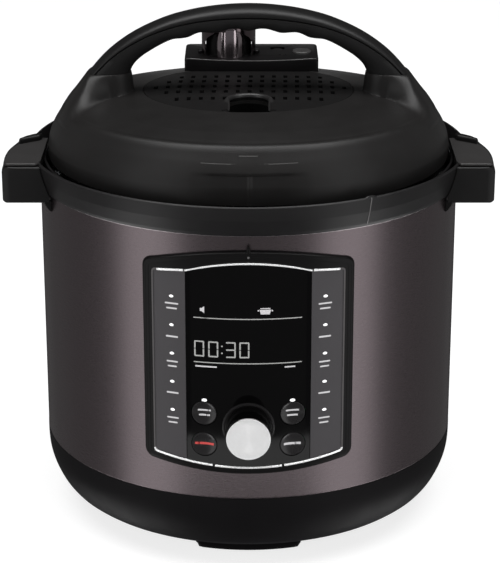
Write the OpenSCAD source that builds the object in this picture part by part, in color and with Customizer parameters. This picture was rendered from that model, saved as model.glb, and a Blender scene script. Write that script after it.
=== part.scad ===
// Electric pressure cooker: a free-standing countertop cooker with a turning
// lid, an arched lid handle, a steel body shell and a curved control panel.
// Millimetres. Origin on the resting plane under the middle of the body, +Z up,
// the control panel faces -Y, the condensation collector is at +Y.

/* [Body] */
// Outer radius of the steel body shell
body_r = 156; // [154:0.5:158]
// Sheet thickness of the steel body shell
shell_t = 0.6; // [0.4:0.1:1.0]
// Height of the lower edge of the steel shell
shell_z0 = 58.5; // [57:0.5:60]
// Height of the upper edge of the steel shell
shell_z1 = 256.3; // [254:0.1:256.4]
// Height of the body's underside above the resting plane
foot_h = 9; // [8:0.5:10]
// Wall thickness of the moulded base
base_t = 3; // [2:0.5:4]

/* [Collar and side handles] */
// Outer radius of the collar's upper lip
lip_r = 163.5; // [162:0.5:165]
// Height of the collar's upper lip
lip_z = 278.8; // [276:0.1:280]
// Reach of each side handle from the axis
handle_reach = 182; // [180:0.5:186]
// Half length of each side handle along Y
handle_half = 64; // [50:1:68]
// Underside of the side handles
handle_z0 = 250.5; // [246:0.5:252]
// Upper face of the side handles
handle_z1 = 277.5; // [270:0.5:278]

/* [Inner pot] */
// Outer radius of the inner pot
pot_r = 124; // [118:0.5:125]
// Wall thickness of the inner pot
pot_t = 1; // [0.8:0.1:1.5]
// Height of the pot's underside
pot_z0 = 84.3; // [84.3:0.1:86]
// Height of the pot's rim
pot_z1 = 264; // [258:0.5:264]

/* [Lid] */
// Number of bayonet lugs round the lid
lug_count = 8; // [6:1:8]
// Width of each lug in degrees
lug_angle = 12; // [8:1:12]
// How far the lugs are turned past the housing lugs when stored
lug_phase = 28; // [27:0.5:29]
// Height of the lid's crease plane at the axis
crease_z = 308.8; // [306:0.1:311]
// Slope of the crown down to the rear, in degrees
cant = 2.2; // [0:0.1:2.5]
// Radius of the perforated disc
grille_r = 78; // [70:1:80]
// Width of one perforation
hole_w = 3; // [2:0.1:3.4]
// Length of one perforation along Y
hole_l = 9; // [3:0.5:10]

/* [Lid handle] */
// Depth of the lid handle along Y
arch_d = 28; // [24:1:32]
// Height of the join between the arch and its pedestals
arch_foot_z = 333.5; // [332:0.5:336]

/* [Control panel] */
// Half width of the control panel
panel_w = 72.8; // [70:0.1:74]
// Top of the panel on its centre line
panel_z1 = 244.9; // [240:0.1:246]
// Bottom of the panel on its centre line
panel_z0 = 79.6; // [78:0.1:84]
// Height of the control knob's axis
knob_z = 115.5; // [112:0.5:118]
// Radius of the control knob
knob_r = 15.8; // [14:0.1:15.9]
// How far the control knob's face stands from the body axis
knob_y = 181; // [176:1:184]
// Radius of the dished keys
key_r = 9; // [8:0.1:9.2]
// Distance of the keys from the panel's centre line
key_x = 31.2; // [30:0.1:32]

/* [Hidden] */
$fn = 96;
eps = 0.01;

// where the valves stand on the lid
vent_x = -15.5;
vent_y = 84;
float_x = 22.7;
float_y = 98;
button_x = 41.5;
button_y = 86;
// top of the valve console
console_z = 327;
// thickness of the lid's steel inner dish
liner_t = 1;
// where the mains inlet stands
inlet_x = -38;
inlet_z = 78;
// radius at which the panel's pocket floor lies
panel_rf = 158.2;
key_zu = 124.8;
key_zl = 101.1;
led_z = [210.4, 189.1, 167.8, 146.5, 125.0];
led_x = 53.6;

// outline of a curved panel in its XZ plane: half width, top and bottom on the
// centre line, how much both bow towards the corners, and the corner radius
function bow_outline(w, z1, z0, s1, s0, r, n = 12) = let (
    c1 = z1 - s1 * pow((w - r) / w, 2) - r, c0 = z0 + s0 * pow((w - r) / w, 2) + r)
    concat(
        [for (i = [0:n]) let (x = (w - r) * (2 * i / n - 1)) [x, z1 - s1 * pow(x / w, 2)]],
        [for (a = [67.5:-22.5:0]) [w - r + r * cos(a), c1 + r * sin(a)]],
        [for (a = [0:-22.5:-67.5]) [w - r + r * cos(a), c0 + r * sin(a)]],
        [for (i = [0:n]) let (x = (w - r) * (1 - 2 * i / n)) [x, z0 + s0 * pow(x / w, 2)]],
        [for (a = [-112.5:-22.5:-180]) [-(w - r) + r * cos(a), c0 + r * sin(a)]],
        [for (a = [180:-22.5:112.5]) [-(w - r) + r * cos(a), c1 + r * sin(a)]]);

// a curved plate between two radii that fills an XZ outline on the panel side
module on_shell(r0, r1) {
    intersection() {
        difference() {
            translate([0, 0, 60]) cylinder(r = r1, h = 200);
            translate([0, 0, 59]) cylinder(r = r0, h = 202);
        }
        translate([0, -120, 0]) rotate([90, 0, 0]) linear_extrude(60) children();
    }
}

// a round bar along Y between two distances in front of the axis
module bar_y(x, z, r, y0, y1) {
    translate([x, -y0, z]) rotate([90, 0, 0]) cylinder(r = r, h = y1 - y0);
}

// a straight length of wire between two points
module wire(p, q, r) {
    d = q - p;
    l = norm(d);
    translate(p) rotate([0, acos(d[2] / l), atan2(d[1], d[0])])
        cylinder(r = r, h = l, $fn = 24);
}

// a coil spring as one swept wire
function coil_pt(rc, z0, h, turns, t) = [rc * cos(360 * turns * t), rc * sin(360 * turns * t), z0 + h * t];
module coil(rc, rw, z0, h, turns, per = 14, sides = 6) {
    n = turns * per;
    pts = [for (i = [0:n]) let (t = i / n, c = coil_pt(rc, z0, h, turns, t), a = 360 * turns * t)
        for (j = [0:sides - 1]) let (b = 360 * j / sides)
            [c[0] + rw * cos(b) * cos(a), c[1] + rw * cos(b) * sin(a), c[2] + rw * sin(b)]];
    faces = concat(
        [[for (j = [0:sides - 1]) j]],
        [for (i = [0:n - 1]) for (j = [0:sides - 1])
            [i * sides + j, (i + 1) * sides + j, (i + 1) * sides + (j + 1) % sides, i * sides + (j + 1) % sides]],
        [[for (j = [sides - 1:-1:0]) n * sides + j]]);
    polyhedron(points = pts, faces = faces, convexity = 4);
}

// ---------------------------------------------------------------- base
// outside of the moulded base, from the underside's edge to the shell seat
base_out = [[127, foot_h], [132.6, 10.4], [138.5, 13.2], [143.6, 17.2], [147.6, 22.4],
    [150.6, 28.2], [153.2, 34.6], [155.0, 41.2], [155.9, 48.5], [156, shell_z0 - 0.3]];
base_in = [[152.4, shell_z0 - 0.3], [152.3, 49], [151.4, 42.2], [149.7, 36], [147.2, 30],
    [144.4, 24.6], [140.9, 20.2], [136.6, 16.4], [130.8, 13.6], [126, foot_h + base_t]];

module base_housing() {
    color([0.07, 0.07, 0.07]) difference() {
        union() {
            rotate_extrude() polygon(concat([[0, foot_h]], base_out, base_in, [[0, foot_h + base_t]]));
            // shell locating rim
            rotate_extrude() polygon([[152.4, 50], [155.1, 50], [155.1, 62], [152.4, 62]]);
            // screw bosses
            for (a = [45:90:315]) rotate(a) translate([100, 0, foot_h + base_t - eps]) cylinder(r = 6, h = 5);
        }
        for (a = [45:90:315]) rotate(a) translate([100, 0, foot_h - 1]) cylinder(r = 2.2, h = 12);
        for (a = [45:90:315]) rotate(a) translate([100, 0, foot_h - 1]) cylinder(r = 4.4, h = 2.8);
        // cooling slots in the floor
        for (i = [-4:4]) translate([i * 9 - 2, -34, foot_h - 1]) cube([4, 68, base_t + 2]);
    }
}

// four arc-shaped pads under the rim of the base
module base_feet() {
    color([0.09, 0.09, 0.09]) for (k = [0:3]) {
        ro = (k % 2 == 0) ? 133.2 : 127;
        rotate(90 * k) rotate_extrude(angle = 36, start = -18)
            polygon([[ro - 22, 1.2], [ro - 20.5, 0], [ro - 5, 0], [ro - 2.6, 1.4],
                [ro - 0.6, foot_h + ((ro > 130) ? 0.9 : 0) - 0.05], [ro - 0.6 - 5.8, foot_h], [ro - 22, foot_h]]);
    }
}

module base_screws() {
    color([0.55, 0.56, 0.58]) for (a = [45:90:315]) rotate(a) translate([100, 0, 0]) {
        translate([0, 0, foot_h + 1.8]) difference() {
            translate([0, 0, -1.7]) cylinder(r = 3.8, h = 1.7);
            translate([-2.4, -0.45, -1.8]) cube([4.8, 0.9, 1]);
            translate([-0.45, -2.4, -1.8]) cube([0.9, 4.8, 1]);
        }
        translate([0, 0, foot_h + 1.8 - eps]) cylinder(r = 1.95, h = 13);
    }
}

module outer_shell() {
    color([0.36, 0.33, 0.34]) difference() {
        translate([0, 0, shell_z0]) cylinder(r = body_r, h = shell_z1 - shell_z0, $fn = 180);
        translate([0, 0, shell_z0 - 1]) cylinder(r = body_r - shell_t, h = shell_z1 - shell_z0 + 2, $fn = 180);
        // opening behind the control panel
        translate([0, -120, 0]) rotate([90, 0, 0]) linear_extrude(60)
            polygon(bow_outline(panel_w - 3.4, panel_z1 - 3.4, panel_z0 + 3.4, 10, 7.4, 5));
        // opening for the mains inlet
        translate([inlet_x - 17.3, 120, inlet_z - 13.3]) cube([34.6, 60, 26.6]);
        // holes for the collector bracket's screws
        for (x = [-14, 14]) translate([x, 120, 226]) rotate([-90, 0, 0]) cylinder(r = 1.6, h = 60, $fn = 32);
    }
}

// ---------------------------------------------------------------- collar
module collar() {
    color([0.08, 0.08, 0.08]) difference() {
        rotate_extrude($fn = 180) polygon([[155.2, 252], [155.2, 256.5], [157.6, 256.5], [158.6, 259], [161.4, 268],
            [lip_r, lip_z - 0.8], [lip_r - 0.7, lip_z], [lip_r - 2.2, lip_z], [159.4, 268.5],
            [158.6, 265.5], [153.4, 264.2], [153.4, 272.4], [151.4, 272.4], [151.4, 261.4], [152.4, 261.4], [152.4, 252]]);
        // screw ways for the side handles
        for (s = [-1, 1]) for (y = [-34, 34]) translate([0, y, 262.2]) rotate([0, s * 90, 0])
            translate([0, 0, 145]) cylinder(r = 2.2, h = 23, $fn = 32);
        // drain to the condensation collector
        translate([0, 157, 250]) cylinder(r = 2.2, h = 20, $fn = 32);
    }
}

// what a side handle is cut back by, so that it meets the collar
module collar_space() {
    rotate_extrude($fn = 180) polygon([[0, 230], [156.2, 230], [156.2, 256.4], [157.75, 256.4], [158.75, 259],
        [161.55, 268], [lip_r + 0.15, lip_z - 0.9], [lip_r + 0.15, 300], [0, 300]]);
}
// how far the outer side stands back from the greatest reach, along the handle
handle_plan = [for (q = [[-64, 8], [-63, 4.9], [-60.4, 3.4], [-56, 3], [-40, 1.7], [-24, 0.4], [-16, 0], [-8, 0.4], [0, 1.8], [8, 3.3], [16, 4.4],
    [24, 4.6], [32, 4.8], [40, 5.4], [48, 6.8], [55, 9.2], [61, 12.6], [64, 17]]) [handle_reach - q[1], q[0] * handle_half / 64]];
module side_handle() {
    difference() {
        intersection() {
            translate([0, 0, handle_z0]) linear_extrude(handle_z1 - handle_z0)
                polygon(concat([[130, -handle_half]], handle_plan, [[130, handle_half]]));
            // rounded outer upper edge, along Y
            translate([0, handle_half + 1, 0]) rotate([90, 0, 0]) linear_extrude(2 * handle_half + 2) polygon(concat(
                [[120, handle_z0]], [[handle_reach, handle_z0 + 2], [handle_reach, handle_z1 - 10]],
                [for (a = [10:10:80]) [handle_reach - 10 + 10 * cos(a), handle_z1 - 10 + 10 * sin(a)]],
                [[handle_reach - 10, handle_z1], [120, handle_z1]]));
            // level at the front, falling off to the rear, along X
            translate([120, 0, 0]) rotate([90, 0, 90]) linear_extrude(80) polygon([[-handle_half - 1, 240], [-handle_half - 1, handle_z1 + 1],
                [0, handle_z1 + 1], [0.5, handle_z1], [16, handle_z1 - 1], [32, handle_z1 - 3.6], [48, handle_z1 - 7],
                [handle_half + 1, handle_z1 - 11.2], [handle_half + 1, 240]]);
        }
        collar_space();
        // finger hollow, open below
        translate([0, 0, handle_z0 - 1]) linear_extrude(14.5) polygon([[163.6, -54], [handle_reach - 7, -54], [handle_reach - 4.5, -24], [handle_reach - 4, -12],
            [handle_reach - 7, 2], [handle_reach - 9, 16], [handle_reach - 9.4, 37], [handle_reach - 11.5, 48], [163.6, 48]]);
        // slot that holds the lid's fin
        translate([165, 8, handle_z1 - 11]) cube([5, 24, 20]);
        // screw holes
        for (y = [-34, 34]) translate([0, y, 262.2]) rotate([0, 90, 0])
            translate([0, 0, 150]) cylinder(r = 1.99, h = 12.8, $fn = 32);
    }
}
module side_handle_right() { color([0.075, 0.075, 0.078]) side_handle(); }
module side_handle_left() { color([0.075, 0.075, 0.078]) mirror([1, 0, 0]) side_handle(); }

module handle_screws() {
    color([0.55, 0.56, 0.58]) for (s = [-1, 1]) for (y = [-34, 34])
        translate([0, y, 262.2]) rotate([0, s * 90, 0]) {
            translate([0, 0, 146]) cylinder(r = 1.94, h = 16.4, $fn = 32);
            translate([0, 0, 144.9]) cylinder(r = 3.3, h = 1.3, $fn = 32);
        }
}

// ---------------------------------------------------------------- inner housing and heater
module inner_housing() {
    color([0.68, 0.69, 0.70]) union() {
        rotate_extrude($fn = 180) polygon([[99, 71], [134, 71], [134, 255], [147.2, 255], [147.2, 273.2],
            [146, 273.2], [146, 256.2], [132.8, 256.2], [132.8, 72.2], [99, 72.2]]);
        // inward bayonet lugs at the top
        for (i = [0:lug_count - 1]) rotate(i * 360 / lug_count) rotate_extrude(angle = lug_angle, start = -lug_angle / 2)
            polygon([[140, 270.6], [146.5, 270.6], [146.5, 273.2], [140, 273.2]]);
    }
}

module heater_bracket() {
    color([0.60, 0.61, 0.62]) difference() {
        union() {
            // ring under the inner housing
            translate([0, 0, 69.4]) cylinder(r = 118, h = 1.6);
            for (a = [45:90:315]) rotate(a) {
                translate([92, -8, 17]) cube([16, 16, 1.6]);
                translate([106.4, -8, 17]) cube([1.6, 16, 53]);
                translate([100, 0, 18.55]) cylinder(r = 5, h = 7);
            }
        }
        translate([0, 0, 68]) cylinder(r = 78, h = 6);
        for (a = [45:90:315]) rotate(a) translate([100, 0, 10]) cylinder(r = 2.0, h = 17);
        for (a = [0:90:270]) rotate(a) translate([100, 0, 68]) cylinder(r = 8, h = 5);
    }
    // spider that guides the temperature sensor
    color([0.60, 0.61, 0.62]) difference() {
        union() {
            translate([0, 0, 65.5]) cylinder(r = 11, h = 1.6);
            translate([-81, -6, 65.5]) cube([162, 12, 1.6]);
            for (s = [-1, 1]) translate([s * 80 - 1.4, -6, 65.5]) cube([2.8, 12, 5]);
        }
        translate([0, 0, 60]) cylinder(r = 3, h = 12);
    }
}

module heating_plate() {
    color([0.72, 0.72, 0.73]) difference() {
        rotate_extrude($fn = 128) polygon([[13, 74], [97, 74], [98, 75.2], [98, 82], [97, 83.4], [93, 84], [14, 84], [13, 83.4]]);
        rotate_extrude() translate([70, 74]) circle(r = 4.6, $fn = 32);
        for (a = [0:120:240]) rotate(a) translate([88, 0, 73]) cylinder(r = 2, h = 6, $fn = 32);
    }
    // feet that stand on the bracket
    color([0.72, 0.72, 0.73]) for (a = [15:120:255]) rotate(a) translate([84, 0, 71]) cylinder(r = 5, h = 3 + eps);
}

module heating_element() {
    color([0.45, 0.45, 0.46]) {
        rotate([0, 0, -75]) rotate_extrude(angle = 330, start = 0) translate([70, 74]) circle(r = 4.5, $fn = 32);
        for (a = [-75, 255]) rotate(a) translate([70, 0, 58]) cylinder(r = 3, h = 16, $fn = 32);
    }
}

module temperature_sensor() {
    color([0.78, 0.78, 0.79]) {
        rotate_extrude() polygon([[0, 84], [9, 84], [11.6, 82.6], [11.6, 74], [9.4, 74], [9.4, 81], [0, 81]]);
        translate([0, 0, 62]) cylinder(r = 2.6, h = 19.5);
    }
}

module sensor_spring() {
    color([0.7, 0.7, 0.7]) coil(6, 0.7, 67.8, 12.3, 4.5);
}

// ---------------------------------------------------------------- electrics
module power_board() {
    color([0.08, 0.30, 0.16]) difference() {
        translate([-46, -38, 27]) cube([92, 76, 1.6]);
        for (x = [-41, 41]) for (y = [-33, 33]) translate([x, y, 26]) cylinder(r = 1.7, h = 4, $fn = 32);
    }
    color([0.1, 0.1, 0.1]) {
        translate([-36, -28, 28.6 - eps]) cube([22, 28, 17]);
        translate([-6, -30, 28.6 - eps]) cube([26, 20, 13]);
        translate([30, 12, 28.6 - eps]) cylinder(r = 6, h = 20);
        translate([14, 18, 28.6 - eps]) cylinder(r = 5, h = 16);
        translate([-30, 10, 28.6 - eps]) cube([34, 18, 9]);
    }
    // posts down to the floor of the base
    color([0.8, 0.8, 0.75]) for (x = [-41, 41]) for (y = [-33, 33]) translate([x, y, 12]) {
        cylinder(r = 3, h = 15);
        cylinder(r = 1.65, h = 18, $fn = 32);
    }
}

module control_board() {
    color([0.08, 0.30, 0.16]) difference() {
        translate([-56, -139.6, 88]) cube([112, 1.6, 140]);
        translate([-40, -141, 162]) cube([80, 4, 36]);
    }
    // key switches
    color([0.12, 0.12, 0.12]) for (s = [-1, 1]) for (z = [key_zu, key_zl]) {
        translate([s * key_x - 3, -142.8, z - 3]) cube([6, 3.3, 6]);
        bar_y(s * key_x, z, 1.7, 142.7, 144);
    }
    // board spacers to the panel carrier
    color([0.8, 0.8, 0.75]) for (x = [-50, 50]) for (z = [96, 220]) bar_y(x, z, 2.5, 139.5, 144.4);
}

module wiring_harness() {
    pts_a = [[inlet_x, 132.9, 69.5], [inlet_x, 131, 62], [inlet_x, 120, 46], [-30, 70, 42], [-20, 24, 39.4]];
    pts_b = [[10, -34, 30.3], [10, -60, 32], [10, -90, 38], [14, -118, 50], [14, -137, 68], [14, -137, 86.3]];
    pts_c = [[4, -18, 43.3], [12, -50, 49], [18.1, -67.6, 56.3]];
    color([0.75, 0.12, 0.10]) for (p = [pts_a, pts_b, pts_c]) {
        for (i = [0:len(p) - 2]) wire(p[i], p[i + 1], 1.5);
        for (i = [1:len(p) - 2]) translate(p[i]) sphere(r = 1.95, $fn = 24);
    }
}

module inlet_hole(g = 0) {
    polygon([[-12.2 - g, -8.4 - g], [12.2 + g, -8.4 - g], [12.2 + g, 3.6], [7.6, 8.4 + g], [-7.6, 8.4 + g], [-12.2 - g, 3.6]]);
}
module power_inlet() {
    color([0.05, 0.05, 0.05]) difference() {
        union() {
            translate([inlet_x - 17, 134.5, inlet_z - 13]) cube([34, 22.6, 26]);
            // flange, its back fitted to the shell
            difference() {
                translate([inlet_x - 19.5, 142, inlet_z - 15.5]) cube([39, 15.1, 31]);
                translate([0, 0, 50]) cylinder(r = body_r + 0.1, h = 60, $fn = 180);
            }
        }
        translate([inlet_x, 158, inlet_z]) rotate([90, 0, 0]) linear_extrude(18.5) inlet_hole();
    }
}
module inlet_pins() {
    color([0.80, 0.70, 0.45]) {
        for (x = [-7, 7]) translate([inlet_x + x - 1, 133, inlet_z - 4]) cube([2, 20, 4]);
        translate([inlet_x - 1, 133, inlet_z + 1.6]) cube([2, 21, 4]);
    }
}

// bracket on the shell with two rails, and the cup that slides on them
module collector_bracket() {
    color([0.07, 0.07, 0.07]) difference() {
        union() {
            translate([-21, 150, 221]) cube([42, 10.5, 10]);
            translate([-21, 150, 231 - eps]) cube([42, 10.5, 25]);
            for (s = [-1, 1]) translate([s * 12 - 2, 160.4, 238]) cube([4, 4.6, 3]);
        }
        translate([0, 0, 200]) cylinder(r = body_r + 0.1, h = 80, $fn = 180);
        for (x = [-14, 14]) translate([x, 120, 226]) rotate([-90, 0, 0]) cylinder(r = 1.4, h = 60, $fn = 32);
    }
    // screws through the shell
    color([0.5, 0.5, 0.5]) for (x = [-14, 14]) translate([x, 148, 226]) rotate([-90, 0, 0]) cylinder(r = 1.4, h = 9, $fn = 32);
}
module condensation_collector() {
    color([0.10, 0.10, 0.105]) difference() {
        union() {
            translate([-23.5, 161, 224]) cube([47, 16, 30]);
            translate([0, 161, 224]) intersection() {
                translate([-23.5, 0, 0]) cube([47, 20, 30]);
                translate([0, -12, 0]) cylinder(r = 32, h = 30);
            }
        }
        // cup
        translate([-21, 163.4, 226.2]) cube([42, 12.6, 40]);
        // grooves for the rails
        for (s = [-1, 1]) translate([s * 12 - 2.3, 160, 237.6]) cube([4.6, 6, 3.8]);
    }
}

// ---------------------------------------------------------------- control panel
trim_out = bow_outline(67.6, 233.0, 83.4, 3.2, 7.6, 3);
module panel_bezel() {
    color([0.055, 0.055, 0.058]) difference() {
        union() {
            on_shell(body_r + 0.08, 159.7) polygon(bow_outline(panel_w, panel_z1, panel_z0, 10.4, 7.6, 6));
            on_shell(152.4, body_r + 0.1) polygon(bow_outline(panel_w - 3.8, panel_z1 - 3.8, panel_z0 + 3.8, 10, 7.4, 5));
        }
        // pocket for the strips and the glass
        on_shell(panel_rf, 170) polygon(trim_out);
        on_shell(panel_rf, 170) polygon(bow_outline(45, 239.2, 200, 9, 0, 2));
        // window for the display
        translate([-39, -165, 162.5]) cube([78, 20, 35]);
        for (s = [-1, 1]) for (z = [key_zu, key_zl]) bar_y(s * key_x, z, key_r + 0.5, 140, 170);
        bar_y(0, knob_z, 18.9, 156.6, 170);
        bar_y(0, knob_z, 7.5, 140, 170);
        for (s = [-1, 1]) for (z = led_z) bar_y(s * led_x, z, 1.3, 140, 170);
    }
    // posts that carry the control board
    color([0.055, 0.055, 0.058]) for (x = [-50, 50]) for (z = [96, 220]) bar_y(x, z, 3.5, 144.5, 147);
    color([0.055, 0.055, 0.058]) intersection() {
        for (x = [-50, 50]) for (z = [96, 220]) bar_y(x, z, 3.5, 146.9, 156);
        translate([0, 0, 60]) cylinder(r = 154, h = 200);
    }
}

module strip_plate(s) {
    difference() {
        on_shell(panel_rf + 0.02, panel_rf + 0.7) intersection() {
            polygon(bow_outline(66.2, 231.6, 84.9, 3.2, 7.6, 2));
            translate([(s > 0) ? 43.9 : -80, 60]) square([36.1, 200]);
        }
        for (z = led_z) bar_y(s * led_x, z, 1.2, 140, 170);
    }
}
module panel_strip_left() { color([0.30, 0.29, 0.30]) strip_plate(-1); }
module panel_strip_right() { color([0.30, 0.29, 0.30]) strip_plate(1); }

glass_out = concat([[-43.4, 84.2], [43.4, 84.2]], [for (i = [0:12]) let (x = 43.4 - 86.8 * i / 12) [x, 236.4 - 7.2 * pow(x / 43.4, 2)]]);
module display_glass() {
    color([0.02, 0.02, 0.022]) difference() {
        on_shell(panel_rf + 0.02, panel_rf + 0.9) intersection() {
            polygon(glass_out);
            polygon(bow_outline(66.2, 245, 84.9, 3.2, 7.6, 2));
        }
        for (s = [-1, 1]) for (z = [key_zu, key_zl]) bar_y(s * key_x, z, key_r + 0.25, 140, 170);
        bar_y(0, knob_z, 18.75, 140, 170);
    }
}

// fine bright line round the strips and the arched glass
module chrome_trim() {
    color([0.85, 0.85, 0.86]) on_shell(panel_rf + 0.02, panel_rf + 1.25) difference() {
        union() {
            polygon(bow_outline(67.5, 232.9, 83.5, 3.2, 7.6, 3));
            polygon(bow_outline(44.7, 238.9, 200, 8.4, 0, 2));
        }
        polygon(bow_outline(66.3, 231.7, 84.8, 3.2, 7.6, 2));
        polygon(concat([[-43.5, 120], [43.5, 120]], [for (i = [0:12]) let (x = 43.5 - 87 * i / 12) [x, 237.6 - 7.2 * pow(x / 43.5, 2)]]));
        for (s = [-1, 1]) translate([s * 24.6 - 0.7, 78]) square([1.4, 10]);
    }
}

module display_module() {
    color([0.05, 0.05, 0.05]) translate([-37.5, -151.4, 164]) cube([75, 11.7, 32]);
}

module indicator_lights() {
    color([0.9, 0.9, 0.88]) for (s = [-1, 1]) for (z = led_z) intersection() {
        bar_y(s * led_x, z, 0.85, 139.7, 165);
        translate([0, 0, 60]) cylinder(r = panel_rf + 0.72, h = 200, $fn = 180);
    }
}

module encoder() {
    color([0.6, 0.6, 0.6]) difference() {
        translate([-6.5, -147, knob_z - 6.5]) cube([13, 7.4, 13]);
        bar_y(0, knob_z, 3.05, 142, 148);
    }
}
module encoder_shaft() {
    color([0.7, 0.7, 0.72]) bar_y(0, knob_z, 3, 142.4, 168);
}
module knob_ring() {
    color([0.10, 0.10, 0.10]) difference() {
        bar_y(0, knob_z, 18.6, 156.7, 160.2);
        bar_y(0, knob_z, 16.4, 158.6, 161);
        bar_y(0, knob_z, 3.4, 150, 160);
    }
}
module knob() {
    color([0.82, 0.82, 0.83]) translate([0, 0, knob_z]) rotate([90, 0, 0]) difference() {
        rotate_extrude($fn = 128) polygon([[0, 160.9], [knob_r - 1.2, 160.9], [knob_r, 161.6], [knob_r, knob_y - 1.1],
            [knob_r - 0.3, knob_y - 0.3], [knob_r - 1.1, knob_y], [knob_r - 2.2, knob_y - 0.1], [knob_r - 3, knob_y - 0.7], [0, knob_y - 0.9]]);
        translate([0, 0, 160]) cylinder(r = 3.05, h = 9.6);
        // hollow behind the face
        translate([0, 0, 160]) difference() {
            cylinder(r = knob_r - 2.2, h = 12);
            translate([0, 0, -1]) cylinder(r = 6, h = 20);
        }
    }
}

module key_cap(s, z) {
    difference() {
        intersection() {
            bar_y(s * key_x, z, key_r, 154.2, 162);
            translate([0, 0, 60]) cylinder(r = panel_rf + 0.75, h = 200, $fn = 180);
        }
        // finger dish
        translate([s * key_x, -156.2 - 30.6 * 1.0, z]) sphere(r = 31, $fn = 128);
    }
    bar_y(s * key_x, z, 2.4, 144.7, 154.3);
}
module key_upper_left() { color([0.13, 0.13, 0.135]) key_cap(-1, key_zu); }
module key_upper_right() { color([0.13, 0.13, 0.135]) key_cap(1, key_zu); }
module key_lower_left() { color([0.13, 0.13, 0.135]) key_cap(-1, key_zl); }
module key_lower_right() { color([0.13, 0.13, 0.135]) key_cap(1, key_zl); }

// ---------------------------------------------------------------- pot and seal
module inner_pot() {
    color([0.74, 0.74, 0.75]) rotate_extrude($fn = 180) polygon([[0, pot_z0], [pot_r - 10, pot_z0], [pot_r - 4, pot_z0 + 1.6],
        [pot_r - 1, pot_z0 + 5], [pot_r, pot_z0 + 10], [pot_r, pot_z1 - 5], [pot_r + 1.4, pot_z1 - 1.8], [pot_r + 3, pot_z1 - 1], [131.6, pot_z1 - 1],
        [131.6, pot_z1], [pot_r + 2.4, pot_z1], [pot_r + 0.2, pot_z1 - 1.6], [pot_r - pot_t, pot_z1 - 5], [pot_r - pot_t, pot_z0 + 12],
        [pot_r - 3, pot_z0 + 6.5], [pot_r - 8, pot_z0 + 4], [pot_r - 14, pot_z0 + 3.2], [0, pot_z0 + 3.2]]);
}
module sealing_ring() {
    color([0.82, 0.82, 0.80]) rotate_extrude($fn = 128) polygon([[125.4, 264.3], [133.2, 264.3], [134, 265.1], [130.2, 270.6], [136.4, 275.4],
        [136.4, 276.8], [125, 276.8], [124.4, 276.2], [124.4, 265.3]]);
}
module ring_rack() {
    color([0.75, 0.75, 0.76]) {
        rotate_extrude() translate([122.9, 271]) circle(r = 1.2, $fn = 24);
        for (i = [0:7]) rotate(45 * i) translate([120.6, -3, 270.4]) cube([1.6, 6, 6.7]);
    }
}

// ---------------------------------------------------------------- lid
// profiles of the lid from the crown's middle down the skirt, above the canted
// crease plane: outside and inside
lid_out = [[0, 12.5], [30, 12.4], [56, 12.0], [78, 10.7], [98, 8.2], [116, 4.9], [128, 2.0], [135.6, -0.2], [137.2, -1.0],
    [138.6, -2.6], [141.2, -6.4], [144.0, -10.8], [146.4, -15.6], [148.2, -21.0], [149.1, -27.0], [149.2, -60]];
lid_in = [[0, 6.2], [80, 6.2], [98, 5.2], [116, 1.9], [127, -1.0], [133.4, -3.2], [136.4, -6.2], [139.6, -11.0], [142.6, -16.2], [144.6, -21.6], [145.8, -27.4], [146, -62]];
// side profile of the handle pedestals
pedestal = [[86, 306], [86, arch_foot_z - 0.1], [117.4, arch_foot_z - 0.1], [123.4, 326.2], [127.9, 320.1], [133.0, 313.9], [136, 308.6], [130, 306]];

module canted(up = 0) { translate([0, 0, crease_z + up]) rotate([-cant, 0, 0]) children(); }
module crown_cap(up = 0) { canted(up) rotate_extrude($fn = 128) polygon(concat([[0, -60]], lid_out)); }
module lid_shell() {
    color([0.085, 0.083, 0.083]) difference() {
        union() {
            canted() rotate_extrude($fn = 128) polygon(concat(lid_out, [for (i = [len(lid_in) - 1:-1:0]) lid_in[i]]));
            for (s = [0, 180]) rotate(s) rotate_extrude(angle = 26, start = -13) polygon(pedestal);
        }
        // level lower edge
        translate([0, 0, 200]) cylinder(r = 170, h = 74.5);
        // shallow seat of the perforated disc
        canted(9.2) cylinder(r = grille_r + 0.3, h = 10);
        // ways for the valves
        translate([vent_x, vent_y, 280]) cylinder(r = 8, h = 60);
        translate([float_x, float_y, 280]) cylinder(r = 5, h = 60);
        translate([button_x, button_y, 280]) cylinder(r = 3.5, h = 60);
        // bolt ways in the pedestals
        for (s = [-1, 1]) translate([s * 101, 0, 280]) cylinder(r = 2.7, h = 60);
        // finger scoop at the front
        translate([3, -201.6, 286]) sphere(r = 55, $fn = 96);
    }
}

module vent_grille() {
    color([0.09, 0.085, 0.088]) canted() difference() {
        rotate_extrude($fn = 128) polygon([[0, 9.3], [grille_r, 9.3], [grille_r, 10.5], [56, 12.0], [30, 12.4], [0, 12.5]]);
        // rows of perforations: place along Y and how many each side of the middle
        for (r = [[36, 6], [19, 7], [1, 8], [-17, 7], [-39, 6]]) for (i = [-r[1]:r[1]]) if (!(abs(i) < 2 && r[0] < -30))
            translate([8.75 * i + 1.1 + 0.019 * r[0] - hole_w / 2, r[0] - hole_l / 2, 8]) cube([hole_w, hole_l, 6]);
        // finger notch at the front edge, with a small slot at each side
        translate([0.4, -46.2, 8]) cylinder(r = 15.2, h = 6, $fn = 64);
        translate([0.4 - 15.2, -80, 8]) cube([30.4, 33.8, 6]);
        translate([0.4 - 19.4, -72.8, 8]) cube([38.8, 1.8, 6]);
        translate([vent_x, vent_y, 0]) cylinder(r = 8.2, h = 40);
    }
}

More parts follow.
